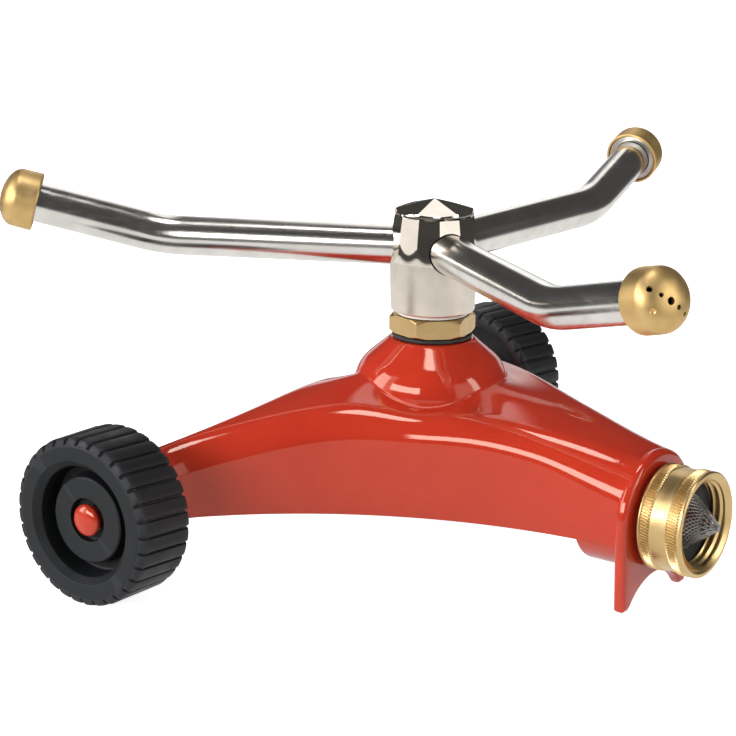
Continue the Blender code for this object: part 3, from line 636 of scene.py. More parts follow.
# Depth under the top's edge and height of the casting's top at many points
def castSurface(points, wall=0.0):
    look = castLook
    points = np.asarray(points, float)
    x, y = points.T
    each = np.stack([distanceTo(run, points) for run in castWalls])
    power = look["softness"]
    near = softLeast(each, power)
    three = np.stack([np.minimum(each[0], each[1]), np.minimum(each[3], each[4]), each[2]])
    least = softLeast(three, 6)
    pairs = np.stack([three[0] * three[1], three[1] * three[2], three[0] * three[2]])
    second = softLeast(pairs * 1000, 6) / 1000 / least
    across = (second - least) / np.maximum(second + least, 1e-6)
    reach = np.hypot(x, y)
    angle = np.arctan2(y, x)
    toward = np.maximum(0, np.cos(angle)) ** 2
    legs = [(look["wheel" + label], look["inlet" + label]) for label in ("Ridge", "Fall", "Crown")]
    ridge, fall, crown = (wheel + (inlet - wheel) * toward for wheel, inlet in legs)
    between = (1 - np.cos(3 * angle)) / 2 * smoothStep(reach / look["domeFoot"][0])
    saddle = look["saddle"] + look["saddleRise"] * np.maximum(0, np.cos(angle - math.pi / 3)) ** 2
    top = saddle * between + (ridge - fall * reach - crown * across**2) * (1 - between)
    radius = edgeRadius(x) - wall
    depth = np.clip(near - wall, 0, radius)
    drop = radius - np.sqrt(np.maximum(radius**2 - (radius - depth) ** 2, 0))
    return near, top - wall - drop


def edgeRadius(x):
    grown = smoothStep((x - castLook["growthStart"]) / (flangeBackX - castLook["growthStart"]))
    return castLook["edgeRadius"] + castLook["edgeGrowth"] * grown


def wholePlan():
    half = castEnd[:-1] + castFront[:-1] + castTip[:-1] + castRear
    other = [(x, -y) for x, y in reversed(half[1:-1])]
    return list(reversed(half + other))


# The points of a closed line, each moved to the left by its own amount
def movedLeft(plan, amounts):
    moved = []
    for before, here, after, amount in zip(plan[-1:] + plan[:-1], plan, plan[1:] + plan[:1], amounts):
        along = (Vector(after) - Vector(before)).normalized()
        moved.append((here[0] - along.y * amount, here[1] + along.x * amount))
    return moved


# The plan made smaller all round, apart from its straight inlet end, which stays where it is
def insetPlan(plan, amount):
    endX = max(x for x, _ in plan)
    narrowed = 1 - amount / castLook["inletHalfWidth"]
    moved = movedLeft(plan, [amount] * len(plan))
    return [(endX, y * narrowed) if x > endX - 1e-7 else spot for (x, y), spot in zip(plan, moved)]


def insideOf(points, loop):
    x, y = points.T
    crossings = np.zeros(len(points), int)
    for (x0, y0), (x1, y1) in zip(loop, loop[1:] + loop[:1]):
        spans = (y0 > y) != (y1 > y)
        if y0 != y1:
            crossings += spans & (x < x0 + (y - y0) * (x1 - x0) / (y1 - y0))
    return crossings % 2 == 1


def thinned(points, gap):
    kept = []
    cells = {}
    for x, y in points:
        cell = (math.floor(x / gap), math.floor(y / gap))
        around = [cells.get((cell[0] + i, cell[1] + j), ()) for i in (-1, 0, 1) for j in (-1, 0, 1)]
        if all(math.hypot(x - p, y - q) > gap for group in around for p, q in group):
            cells.setdefault(cell, []).append((x, y))
            kept.append((x, y))
    return kept


# Triangulated skin between an outer loop and a hole, through given inner points
def addSkin(bm, loop, hole, inner, heights):
    rim = [(v.co.x, v.co.y) for v in loop]
    holeRim = [(v.co.x, v.co.y) for v in hole]
    count = len(rim)
    holeEdges = [(count + i, count + (i + 1) % len(hole)) for i in range(len(hole))]
    spots = [Vector(point) for point in rim + holeRim + inner]
    result = delaunay_2d_cdt(spots, holeEdges, [list(range(count))], 1, 1e-8, True)
    fixed = loop + hole
    verts = []
    for position, sources in zip(result[0], result[3]):
        known = [source for source in sources if source < len(fixed)]
        if known:
            verts.append(fixed[known[0]])
        elif not sources:
            print("skin edges cross at", tuple(position))
            verts.append(bm.verts.new((position.x, position.y, heights[0])))
        else:
            verts.append(bm.verts.new((position.x, position.y, heights[sources[0] - len(fixed)])))
    middles = np.array([sum((result[0][i] for i in face), Vector((0, 0))) / 3 for face in result[2]])
    keep = insideOf(middles, rim) & ~insideOf(middles, holeRim)
    for face, wanted in zip(result[2], keep):
        if wanted:
            bm.faces.new([verts[i] for i in face])


# Inner points of a skin: rows along the rounded edge, then an even grid
def fillPoints(plan, wall, spacing, holeAt):
    look = castLook
    ring = []
    radii = edgeRadius(np.array(plan)[:, 0]) - wall
    for step in range(1, look["bandRows"] + 1):
        part = 1 - math.cos(math.radians(90 / look["bandRows"] * step))
        moved = movedLeft(plan, part * radii)
        near = castSurface(moved)[0] - wall
        ring += [spot for spot, depth, radius in zip(moved, near, radii) if depth > part * radius * look["bandShare"]]
    count = int(look["reach"] / spacing)
    grid = []
    for row in range(-count, count + 1):
        for column in range(-count, count + 1):
            grid.append(((column + 0.5 * (row % 2)) * spacing, row * spacing * look["rowShare"]))
    grid = np.array(grid)
    grid = grid[insideOf(grid, plan)]
    near = castSurface(grid)[0] - wall
    tip = np.abs(grid[:, 1]) > legEndY - look["tipLength"]
    least = spacing * look["leastShare"]
    grid = grid[(near > edgeRadius(grid[:, 0]) - wall + least) | (tip & (near > look["tipGap"]))]
    points = thinned([tuple(p) for p in ring], look["leastGap"]) + [tuple(p) for p in grid]
    endX = max(x for x, _ in plan) - look["endGap"]
    points = [p for p in points if p[0] < endX and math.hypot(*p) > holeAt(math.atan2(p[1], p[0])) + least]
    return thinned(points, look["leastGap"])


# The dome's side, from its foot to its shoulder and then to its flat top
def domeLine():
    look = castLook
    foot = look["domeFoot"]
    shoulder = look["domeShoulder"]
    middle = (
        (foot[0] + shoulder[0]) / 2 + look["domeBulge"],
        (foot[1] + shoulder[1]) / 2 + look["domeBulge"] / 2,
    )
    side = [(x, y, 0) for x, y in arcThrough(foot, middle, shoulder, 12)]
    side[-1] = (*shoulder, look["shoulderRound"])
    topRim = (look["domeTopRadius"] + 0.0006, domeTop, look["topRound"])
    return roundCorners(side + [topRim, (look["domeTopRadius"] - 0.002, domeTop, 0)], 8)


def lineLengths(line):
    spans = [0.0]
    for first, last in zip(line, line[1:]):
        spans.append(spans[-1] + math.dist(first, last))
    return np.array(spans)


def domeColumns():
    line = np.array(domeLine())
    spans = lineLengths(domeLine())
    fillet = castLook["domeFillet"]
    count = castLook["domeColumns"]
    samples = np.linspace(0, spans[-1] * 0.6, 160)
    radii = np.interp(samples, spans, line[:, 0])
    heights = np.interp(samples, spans, line[:, 1])
    columns = []

    def spotAt(length):
        return Vector([np.interp(length, spans, side) for side in line.T])

    for step in range(count):
        angle = 2 * math.pi * step / count
        ray = np.stack([radii * math.cos(angle), radii * math.sin(angle)], 1)
        over = heights - castSurface(ray)[1]
        at = int(np.argmax(over > 0))
        part = over[at - 1] / (over[at - 1] - over[at]) if at else 0.0
        length = samples[max(at - 1, 0)] + (samples[1] - samples[0]) * part
        corner = spotAt(length)
        out = corner.x + fillet
        outHeight = castSurface([(out * math.cos(angle), out * math.sin(angle))])[1][0]
        above = length + fillet
        column = cornerCurve(Vector((out, outHeight)), corner, spotAt(above), 8)
        column += [spotAt(above + (spans[-1] - above) * share / 28) for share in range(1, 29)]
        columns.append((angle, column))
    return columns


def addPlate(bm, outline, edges, backX, frontX, steps=4):
    count = len(outline)
    normals = []
    for i in range(count):
        along = (Vector(outline[(i + 1) % count]) - Vector(outline[i - 1])).normalized()
        normals.append(Vector((-along.y, along.x)))
    rings = []
    turns = [math.pi / 2 * step / steps for step in range(steps + 1)]
    half = (frontX - backX) / 2
    levels = [(backX, 1, t) for t in reversed(turns)] + [(backX + half, 0, 0.0)] + [(frontX, -1, t) for t in turns]
    for side, sign, turn in levels:
        ring = []
        for point, normal, edge in zip(outline, normals, edges):
            spot = Vector(point) + normal * edge * (1 - math.cos(turn))
            x = side + sign * edge * (1 - math.sin(turn))
            lift = half - math.sqrt(max(0.0, half**2 - (x - backX - half) ** 2))
            ring.append(bm.verts.new((x, spot.x, max(spot.y, lift))))
        rings.append(ring)
    joinAll(bm, rings, True)


flangeLook = {
    "arch": 0.0200,
    "waistDrop": 0.0040,
    "waistRound": 0.02,
    "spread": 0.0170,
    "tip": 0.0022,
    "outerRound": 0.0011,
    "innerRound": 0.0009,
    "rise": 0.0085,
    "edge": 0.0008,
    "archEdge": 0.0019,
    "growth": 0.012,
}


def flangeOutline():
    look = flangeLook
    arch = look["arch"]
    outer = look["spread"] + look["tip"] / 2
    inner = look["spread"] - look["tip"] / 2
    waist = inletHeight - look["waistDrop"]
    radius = (inner**2 + look["rise"] ** 2) / (2 * look["rise"])
    sweep = math.degrees(math.asin(inner / radius))
    points = [(y, z, 0) for y, z in arcPoints((0, inletHeight), arch, 0, 180, 60)]
    right = [(inner, 0, look["innerRound"]), (outer, 0, look["outerRound"]), (arch, waist, look["waistRound"])]
    points += [(-y, z, corner) for y, z, corner in reversed(right)]
    points += [(y, z, 0) for y, z in arcPoints((0, look["rise"] - radius), radius, 90 + sweep, 90 - sweep, 36)[2:-2]]
    return roundCorners(points + right, 5, closed=True)


inletLook = {
    "tube": 0.0120,
    "boss": 0.0174,
    "bossStart": 0.0647,
    "bossEdge": 0.0010,
    "riser": 0.0115,
    "sunk": 0.0010,
    "axleBoss": 0.0080,
    "axleBossLength": 0.0100,
}


# Top edge, outer face, rim and inner face of the wall
def addWalls(bm, plan, inner):
    wall, rim, edge = (castLook[label] for label in ("wall", "rimHeight", "rimEdge"))
    heights = castSurface(plan)[1]
    rows = [[bm.verts.new((x, y, z)) for (x, y), z in zip(plan, heights)]]
    for part in (0.33, 0.67):
        rows.append([bm.verts.new((x, y, z + (rim + edge - z) * part)) for (x, y), z in zip(plan, heights)])
    corner = [(0, edge), (edge * 0.3, edge * 0.3), (edge, 0)]
    for inset, height in corner + [(wall - inset, height) for inset, height in reversed(corner)]:
        rows.append([bm.verts.new((x, y, rim + height)) for x, y in insetPlan(plan, inset)])
    rows.append([bm.verts.new((x, y, z)) for (x, y), z in zip(inner, castSurface(inner, wall)[1])])
    joinAll(bm, rows)
    return rows[0], rows[-1]


# Dome with the sunk seat of the gasket
def addDome(bm, columns):
    look = castLook
    rings = []
    for row in range(len(columns[0][1])):
        rings.append([bm.verts.new(polar(column[row].x, angle, column[row].y)) for angle, column in columns])
    joinAll(bm, rings)
    low = domeTop - look["seatDepth"]
    seat = [(look["domeTopRadius"] - look["seatEdge"], domeTop), (look["seatRadius"], low), (0, low)]
    joinRings(bm, rings[-1], addTurned(bm, seat, look["domeColumns"], False)[0])
    return rings[0]


# Underside of the roof, with the hollow round the riser
def addUnderside(bm, inner, innerTop):
    look = castLook
    wall = look["wall"]
    hollow = look["hollow"]
    count = look["hollowColumns"]
    turns = [2 * math.pi * i / count for i in range(count)]
    spots = [(hollow * math.cos(t), hollow * math.sin(t)) for t in turns]
    hollowRim = [bm.verts.new((x, y, z)) for (x, y), z in zip(spots, castSurface(spots, wall)[1])]
    riser = inletLook["riser"]
    radius, height = look["domeShoulder"]
    rows = [
        (hollow - 0.0004, height - 0.0085, 0),
        (radius - wall - 0.001, height - wall - 0.001, 0.002),
        (riser, height - wall, 0.002),
        (riser, inletHeight - riser, 0.002),
        (0, inletHeight - riser, 0),
    ]
    below = addTurned(bm, roundCorners(rows), count, False)
    joinRings(bm, hollowRim, below[0])
    points = fillPoints(inner, wall, look["spacingBelow"], lambda angle: hollow)
    addSkin(bm, innerTop, hollowRim, points, castSurface(points, wall)[1])


# Inlet tube, its boss, the flange and the bosses of the axles
def addInlet(bm):
    look = inletLook
    tube = look["tube"]
    sunk = flangeBackX + look["sunk"]
    rows = [(0, 0.002, 0), (tube, 0.002, 0.002), (tube, sunk, 0), (0, sunk, 0)]
    addTurned(bm, roundCorners(rows), 72, False, inletAxis)
    boss = look["boss"]
    start = look["bossStart"]
    rows = [(0, start, 0), (boss, start, look["bossEdge"]), (boss, sunk, 0), (0, sunk, 0)]
    addTurned(bm, braced(roundCorners(rows)), 96, False, inletAxis)
    outline = flangeOutline()
    fullness = smoothStep((np.array([z for _, z in outline]) - flangeLook["rise"]) / flangeLook["growth"])
    edges = flangeLook["edge"] + (flangeLook["archEdge"] - flangeLook["edge"]) * fullness
    addPlate(bm, outline, edges.tolist(), flangeBackX, flangeFrontX)
    axle = look["axleBoss"]
    first = legEndY - look["axleBossLength"]
    last = legEndY - fit
    rows = roundCorners([(0, first, 0), (axle, first, 0.0008), (axle, last, 0.0004), (0, last, 0)])
    for side in (-1, 1):
        addTurned(bm, rows, 48, False, axlePlace(side))


def makeCastBase():
    plan = wholePlan()
    bm = bmesh.new()
    columns = domeColumns()
    angles = np.array([angle for angle, _ in columns] + [2 * math.pi])
    feet = np.array([column[0].x for _, column in columns] + [columns[0][1][0].x])

    def holeRadius(angle):
        return float(np.interp(angle % (2 * math.pi), angles, feet))

    inner = insetPlan(plan, castLook["wall"])
    outerTop, innerTop = addWalls(bm, plan, inner)
    foot = addDome(bm, columns)
    points = fillPoints(plan, 0.0, castLook["spacing"], holeRadius)
    addSkin(bm, outerTop, foot, points, castSurface(points)[1])
    addUnderside(bm, inner, innerTop)
    addInlet(bm)
    finishPiece("castBase", bm, "base", glossRed, ["base_casting"], 40)


# Wheels

wheelLow, wheelHigh = nodeBox("wheel_left")
wheelRadius = (wheelHigh.z - wheelLow.z) / 2
wheelWidth = wheelHigh.y - wheelLow.y
wheelInnerY = -wheelHigh.y
axleX = (wheelLow.x + wheelHigh.x) / 2
wheelLook = {
    "ribs": 32,
    "ribHeight": 0.0010,
    "groove": 0.13,
    "skew": math.radians(3.2),
    "shoulder": 0.0022,
    "edgeDrop": 0.0005,
    "rampLength": 0.0018,
    "faceRadius": 0.0236,
    "recessRadius": 0.0191,
    "recessDepth": 0.0095,
    "chamfer": 0.0021,
    "discRadius": 0.0133,
    "discInset": 0.0037,
    "boreRadius": 0.0067,
    "boreDepth": 0.0065,
    "hubRadius": 0.0090,
    "innerRim": 0.0205,
    "web": 0.0030,
    "pinHole": 0.0041,
    "endRound": 0.0015,
    "endGap": 0.00016,
    "endShare": 0.985,
    "landDepth": 0.0034,
    "landAcross": (0.0, 0.06, 0.16, 0.35, 0.6, 0.82, 0.94, 1.0),
    "landLift": (-0.9, -0.10, 0.0, 0.0, -0.03, -0.10, -0.22, -0.9),
}


def axlePlace(side):
    return Matrix.Translation((axleX, 0, wheelRadius)) @ alongY(side)


def wheelProfile():
    look = wheelLook
    face = wheelWidth
    root = wheelRadius - look["ribHeight"]
    floor = face - look["recessDepth"]
    wall = look["recessRadius"] - look["chamfer"]
    return [
        (look["pinHole"], 0, 0.0003),
        (look["hubRadius"], 0, 0.0006),
        (look["hubRadius"], floor - look["web"], 0.0010),
        (look["innerRim"], floor - look["web"], 0.0010),
        (look["innerRim"], 0.0004, 0.0005),
        (look["faceRadius"], 0.0002, 0.0012),
        (wheelRadius - look["edgeDrop"], look["shoulder"], 0.0016),
        (root, look["shoulder"] + look["rampLength"], 0.0006),
        (root, face - look["shoulder"] - look["rampLength"], 0.0006),
        (wheelRadius - look["edgeDrop"], face - look["shoulder"], 0.0016),
        (look["faceRadius"], face, 0.0012),
        (look["recessRadius"], face, 0.0004),
        (wall, face - look["chamfer"], 0.0006),
        (wall, floor, 0.0008),
        (look["discRadius"] + 0.0003, floor, 0.0008),
        (look["discRadius"], face - look["discInset"] - 0.0004, 0.0002),
        (look["discRadius"] - 0.0005, face - look["discInset"], 0.0002),
        (look["boreRadius"], face - look["discInset"], 0.0003),
        (look["boreRadius"], face - look["boreDepth"], 0.0004),
        (look["pinHole"], face - look["boreDepth"], 0.0003),
    ]


# One tread land: a slab with a sloping back, round shoulders and a slight skew
def treadLand():
    look = wheelLook
    share = 2 * math.pi / look["ribs"]
    deep = wheelRadius - look["landDepth"]
    bm = bmesh.new()
    rows = []
    for step in range(23):
        v = step / 22
        height = wheelWidth * v * look["endShare"] + look["endGap"]
        end = min(v, 1 - v) * wheelWidth
        part = max(0.0, 1 - end / look["shoulder"])
        drop = look["endRound"] * (1 - math.sqrt(max(0.0, 1 - part**2)))
        row = []
        for u, rise in zip(look["landAcross"], look["landLift"]):
            angle = share * (u * (1 - look["groove"])) + look["skew"] * (v - 0.5)
            radius = wheelRadius - drop + rise * look["ribHeight"]
            row.append(bm.verts.new(polar(radius, angle, height)))
        first = math.atan2(row[0].co.y, row[0].co.x)
        last = math.atan2(row[-1].co.y, row[-1].co.x)
        row += [bm.verts.new(polar(deep, angle, height)) for angle in (last, first)]
        rows.append(row)
    joinAll(bm, rows, True)
    return bm


def makeWheel(side, label):
    look = wheelLook
    place = Matrix.Translation((axleX, side * wheelInnerY, wheelRadius)) @ alongY(side)
    bm = bmesh.new()
    addTurned(bm, braced(roundCorners(wheelProfile(), 4, closed=True)), 160, True, place)
    addCopies(bm, treadLand(), look["ribs"], 2 * math.pi / look["ribs"], 0.0, mouldedBlack, place)
    finishPiece(f"{label}Wheel", bm, f"{label}_wheel", mouldedBlack, [f"wheel_{label}"], 38)


capLook = {"radius": 0.0049, "height": 0.0045, "foot": 0.0018, "edge": 0.0026, "neck": 0.0035, "step": 0.0004}


def makeAxleCap(side, label):
    look = capLook
    rim = wheelInnerY + wheelWidth - wheelLook["boreDepth"] + fit
    neck = look["neck"]
    outer = neck + look["step"]
    cap = [(0, rim + 0.0005, 0), (neck, rim + 0.0005, 0.0001), (neck, rim, 0.0001), (outer, rim, 0.0001)]
    cap += [(outer, rim + look["foot"], 0.0001), (look["radius"], rim + look["foot"], 0.0004)]
    cap.append((look["radius"], rim + look["edge"], 0.0005))
    rows = roundCorners(cap, 4)
    height = look["height"] - look["edge"]
    for step in range(1, 13):
        turn = math.radians(7.5 * step)
        radius = 0 if step == 12 else look["radius"] * math.cos(turn)
        rows.append((radius, rim + look["edge"] + height * math.sin(turn)))
    bm = bmesh.new()
    addTurned(bm, rows, 64, False, axlePlace(side))
    finishPiece(f"{label}AxleCap", bm, "base", glossRed, [f"axle_cap_{label}"], 50)


# Hose coupling with its knurls and thread

couplingRadius = (couplingHigh.y - couplingLow.y) / 2
couplingLook = {
    "band": 0.27,
    "rim": 0.075,
    "grooveDepth": 0.0006,
    "mouth": 0.0150,
    "mouthDepth": 0.0010,
    "threadRadius": 0.0134,
    "tailRadius": 0.0103,
    "lip": 0.0030,
    "teeth": 110,
    "toothHeight": 0.00045,
    "slant": math.radians(2.4),
    "pitch": 0.0022,
    "threadHeight": 0.0008,
    "turns": 4,
}


def knurlTooth(length):
    look = couplingLook
    share = 2 * math.pi / look["teeth"]
    bm = bmesh.new()
    rows = []
    for step in range(9):
        part = step / 8
        taper = min(1.0, 8 * min(part, 1 - part))
        lift = look["toothHeight"] * taper
        low = couplingRadius - look["toothHeight"]
        row = []
        for u, rise in ((-0.5, -0.2), (-0.42, 0.0), (-0.12, 1.0), (0.12, 1.0), (0.42, 0.0), (0.5, -0.2)):
            angle = share * u + look["slant"] * (part - 0.5)
            radius = low + lift * max(rise, 0) - (0.0002 if rise < 0 else 0)
            row.append(bm.verts.new(polar(radius, angle, length * part)))
        rows.append(row)
    joinAll(bm, rows, True)
    return bm


def threadTurn():
    look = couplingLook
    bm = bmesh.new()
    rings = []
    root = look["threadRadius"] + 0.0002
    crest = look["threadRadius"] - look["threadHeight"]
    for step in range(73):
        angle = 2 * math.pi * step / 72
        height = look["pitch"] * step / 72
        ring = []
        for radius, shift in ((root, -0.42), (crest, -0.08), (crest, 0.08), (root, 0.42)):
            ring.append(bm.verts.new(polar(radius, angle, height + shift * look["pitch"])))
        rings.append(ring)
    joinAll(bm, rings)
    return bm


def makeCoupling():
    look = couplingLook
    back = couplingLow.x
    front = couplingHigh.x
    outer = couplingRadius - look["toothHeight"]
    groove = couplingRadius - look["grooveDepth"]
    band = look["band"] * (front - back)
    rim = look["rim"] * (front - back)
    profile = [
        (look["tailRadius"], back, 0.0003),
        (couplingRadius, back, 0.0005),
        (couplingRadius, back + 0.0007, 0.0002),
        (outer, back + 0.0009, 0.0001),
        (outer, back + band, 0.0001),
        (groove, back + band + 0.0001, 0.0001),
        (groove, front - band - rim - 0.0001, 0.0001),
        (outer, front - band - rim, 0.0001),
        (outer, front - rim - 0.0002, 0.0001),
        (couplingRadius, front - rim, 0.0002),
        (couplingRadius, front, 0.0005),
        (look["mouth"], front, 0.0003),
        (look["threadRadius"], front - look["mouthDepth"], 0.0005),
        (look["threadRadius"], back + look["lip"], 0.0002),
        (look["tailRadius"], back + look["lip"], 0.0002),
    ]
    bm = bmesh.new()
    addTurned(bm, braced(roundCorners(profile, 3, closed=True)), 220, True, inletAxis)
    step = 2 * math.pi / look["teeth"]
    for start, end in ((back + 0.0008, back + band), (front - band - rim, front - rim - 0.0001)):
        place = inletAxis @ Matrix.Translation((0, 0, start))
        addCopies(bm, knurlTooth(end - start), look["teeth"], step, 0.0, couplingBrass, place)
    place = inletAxis @ Matrix.Translation((0, 0, front - look["mouthDepth"] - look["turns"] * look["pitch"]))
    addCopies(bm, threadTurn(), look["turns"], 0.0, look["pitch"], couplingBrass, place)
    finishPiece("hoseCoupling", bm, "coupling", couplingBrass, ["hose_coupling"], 38)


# Strainer cone of crossing wires

filterLow, filterHigh = nodeBox("inlet_filter")
filterRadius = (filterHigh.y - filterLow.y) / 2
gauzeLook = {
    "wire": 0.00016,
    "wires": 15,
    "twist": 1.35,
    "shortWire": 0.55,
    "tip": 0.0010,
    "rimLength": 0.0030,
    "rimThickness": 0.0006,
}


def gauzeSpot(part, twist, lift):
    cone = filterLow.x + gauzeLook["rimLength"]
    size = filterRadius - lift + (gauzeLook["tip"] - filterRadius) * part
    return polar(size, twist * part, cone + (filterHigh.x - fit - cone) * part)


def gauzeWire(twist, end, lift):
    bm = bmesh.new()
    steps = 26
    addTube(bm, [gauzeSpot(end * i / steps, twist, lift) for i in range(steps + 1)], gauzeLook["wire"], 5)
    return bm


def makeGauze():
    look = gauzeLook
    bm = bmesh.new()
    share = 2 * math.pi / look["wires"]
    half = inletAxis @ Matrix.Rotation(share / 2, 4, "Z")
    for sign in (-1, 1):
        lift = look["wire"] * (2 + 0.8 * sign)
        for end, place in ((1.0, inletAxis), (look["shortWire"], half)):
            wire = gauzeWire(sign * look["twist"], end, lift)
            addCopies(bm, wire, look["wires"], share, 0.0, gauzeSteel, place)
    back = filterLow.x
    front = back + look["rimLength"]
    inside = filterRadius - look["rimThickness"]
    rim = [(inside, back), (filterRadius, back), (filterRadius, front), (inside, front)]
    addTurned(bm, rim, 64, True, inletAxis)
    tip = gauzeSpot(1.0, 0, 0).z
    knob = [(0, tip - 0.0006, 0), (look["tip"], tip - 0.0004, 0.0003)]
    knob += [(look["tip"] * 0.8, tip, 0.0003), (0, tip + 0.0002, 0)]
    addTurned(bm, roundCorners(knob), 20, False, inletAxis)
    finishPiece("gauzeCone", bm, "coupling", gauzeSteel, ["inlet_filter"], 60)


# Spindle hexagon and gasket


# Cosine of the turn away from the middle of the nearest facet
def facetCosine(count, angle, firstTurn):
    share = 2 * math.pi / count
    return math.cos((angle - firstTurn) % share - share / 2)


def lesser(first, second, softness=0.00012):
    return (first + second - math.sqrt((first - second) ** 2 + softness**2)) / 2


gasketLow, gasketHigh = nodeBox("riser_gasket")
hexLook = {
    "corner": 0.0138,
    "height": 0.0058,
    "turn": math.radians(-16.0),
    "chamferRadius": 0.0126,
    "chamferSlope": 0.58,
    "root": 0.0090,
    "stem": 0.00605,
    "bore": 0.0040,
}


def makeSpindle():
    look = hexLook
    stemLow, stemHigh = nodeBox("spindle")
    bottom = gasketHigh.z + fit
    top = bottom + look["height"]
    apothem = look["corner"] * math.cos(math.pi / 6)

    def hexShape(row, angle):
        radius, height, cut = row
        if not cut:
            return radius, height
        side = apothem / facetCosine(6, angle, look["turn"])
        nearEnd = min(top - height, height - bottom)
        return lesser(side, look["chamferRadius"] + nearEnd / look["chamferSlope"]), height

    rows = [(look["bore"], stemLow.z, 0), (look["root"], stemLow.z, 0), (look["root"], bottom, 0)]
    steps = 24
    for step in range(steps + 1):
        rows.append((look["corner"], bottom + look["height"] * (0.5 - 0.5 * math.cos(math.pi * step / steps)), 1))
    rows += [(look["stem"], top, 0), (look["stem"], stemHigh.z, 0), (look["bore"], stemHigh.z, 0)]
    bm = bmesh.new()
    addTurned(bm, rows, 144, True, Matrix(), hexShape, look["turn"])
    finishPiece("spindleHexagon", bm, "base", hexBrass, ["spindle"], 28)


def makeGasket():
    inside = hexLook["root"] + fit
    radius = (gasketHigh.x - gasketLow.x) / 2
    low, high = gasketLow.z, gasketHigh.z
    ring = [(inside, low, 0), (radius, low, 0.0004), (radius, high, 0.0004), (inside, high, 0)]
    bm = bmesh.new()
    addTurned(bm, braced(roundCorners(ring, 4, closed=True)), 96, True)
    finishPiece("riserGasket", bm, "base", blackRubber, ["riser_gasket"], 50)


# Hub and its cap

hubLow, hubHigh = nodeBox("hub_body")
hubShape = {
    "radius": 0.0133,
    "waist": 0.01395,
    "waistHeight": 0.0190,
    "facets": 12,
    "blend": 0.00045,
    "topFlat": 0.01205,
    "lean": 0.155,
    "turn": math.radians(-17.0),
    "bore": 0.0084,
    "chamber": 0.0096,
    "bushLength": 0.0121,
    "socketStart": 0.0070,
    "socketSpare": 0.002,
    "fineRise": 0.0045,
    "fineStep": 0.00022,
    "coarseStep": 0.0007,
    "capRadius": 0.0124,
    "capSlope": 0.30,
    "capRise": 0.0044,
    "capTurn": math.radians(-20.0),
    "plug": 0.0045,
}
tubeRadius = 0.00623


def hubSkin(row, angle):
    look = hubShape
    radius, height, inset = row
    if inset < 0:
        return radius, height
    limit = (look["topFlat"] + look["lean"] * (hubHigh.z - height)) / facetCosine(look["facets"], angle, look["turn"])
    return lesser(radius, limit, look["blend"]) - inset, height


# Rows of the hub from its foot up the outside and down the inside; plain ones are marked -1
def hubRows():
    look = hubShape
    bottom = hubLow.z
    top = hubHigh.z
    rows = [(look["bore"], bottom, -1), (look["radius"] - 0.0005, bottom, -1)]
    rows += [(look["radius"] - 0.00015, bottom + 0.00015, -1), (look["radius"], bottom + 0.0005, -1)]
    waist = bottom + look["waistHeight"]
    steps = 14
    for step in range(1, steps + 1):
        part = step / steps
        height = bottom + 0.0005 + (waist - 0.0008 - bottom) * part
        rows.append((look["radius"] + (look["waist"] - look["radius"]) * part, height, 0))
    height = waist
    while height < top - 0.0003:
        rows.append((look["waist"], height, 0))
        height += look["fineStep"] if height < waist + look["fineRise"] else look["coarseStep"]
    rows += [(look["waist"], top - 0.0003, 0), (look["waist"], top - 0.0001, 0.0001), (look["waist"], top, 0.0003)]
    bushTop = bottom + look["bushLength"]
    return rows + [(look["chamber"], top, -1), (look["chamber"], bushTop, -1), (look["bore"], bushTop, -1)]


def makeHubBody():
    look = hubShape
    bm = bmesh.new()
    addTurned(bm, hubRows(), 192, True, Matrix(), hubSkin, look["turn"])
    cutters = bmesh.new()
    size = tubeRadius + fit
    start = look["socketStart"]
    reach = look["waist"] + look["socketSpare"]
    for number in range(3):
        angle = armLook["turn"] + 2 * math.pi * number / 3
        place = Matrix.Translation((0, 0, armHeight)) @ Matrix.Rotation(angle, 4, "Z") @ alongX
        addTurned(cutters, [(0, start), (size, start), (size, reach), (0, reach)], 64, False, place)
    bm = cutAway(bm, cutters)
    finishPiece("hubBody", bm, "rotor", hubMetal, ["hub_body"], 14)


def capSkin(row, angle):
    radius, height = row
    if height is None:
        slope = hubShape["capSlope"] * radius * facetCosine(6, angle, hubShape["capTurn"])
        height = hubHigh.z + fit + hubShape["capRise"] - slope
    return radius, height


# Low pyramid with a plug below; rows without a height lie on its facets
def makeHubCap():
    look = hubShape
    lid = hubHigh.z + fit
    size = look["capRadius"]
    rows = [(0, None)] + [(size * step / 16, None) for step in range(1, 16)]
    rows += [(size - 0.0003, None), (size - 0.0001, lid + 0.0006), (size, lid + 0.0004), (size, lid)]
    radius = look["chamber"] - fit
    foot = hubHigh.z - look["plug"]
    rows += [(radius, lid), (radius, foot), (0, foot)]
    bm = bmesh.new()
    addTurned(bm, rows, 144, False, Matrix(), capSkin, look["capTurn"])
    finishPiece("hubCap", bm, "rotor", hubMetal, ["hub_cap"], 12)


# Arms, collars and nozzle caps

armLook = {
    "turn": math.radians(-152.1),
    "start": 0.0099,
    "wall": 0.0010,
    "reach": 0.0871,
    "bend": 0.0420,
    "rise": math.radians(14.75),
    "lean": math.radians(12.0),
}
nozzleLook = {
    "start": 0.0410,
    "tubeInside": 0.0060,
    "radius": 0.0093,
    "skirt": 0.0063,
    "dome": 0.0092,
    "domeLength": 0.0055,
    "wall": 0.0008,
    "collarRadius": 0.0083,
    "collarDepth": 0.0002,
    "collarLength": 0.0032,
    "jets": (0.0008, 0.00065, 0.0011, 0.0007, 0.0006),
    "firstJet": 47.0,
    "jetStep": -22.0,
    "rowTurn": math.atan2(0.6, 0.8),
    "rowShift": -0.11,
    "dent": (0.722, 0.641, -0.261),
    "jetCentre": 0.0033,
    "jetInside": 0.0035,
    "jetOutside": 0.0115,
    "dentReach": 0.0091,
    "dentRadius": 0.0013,
    "dentDepth": 0.00016,
}


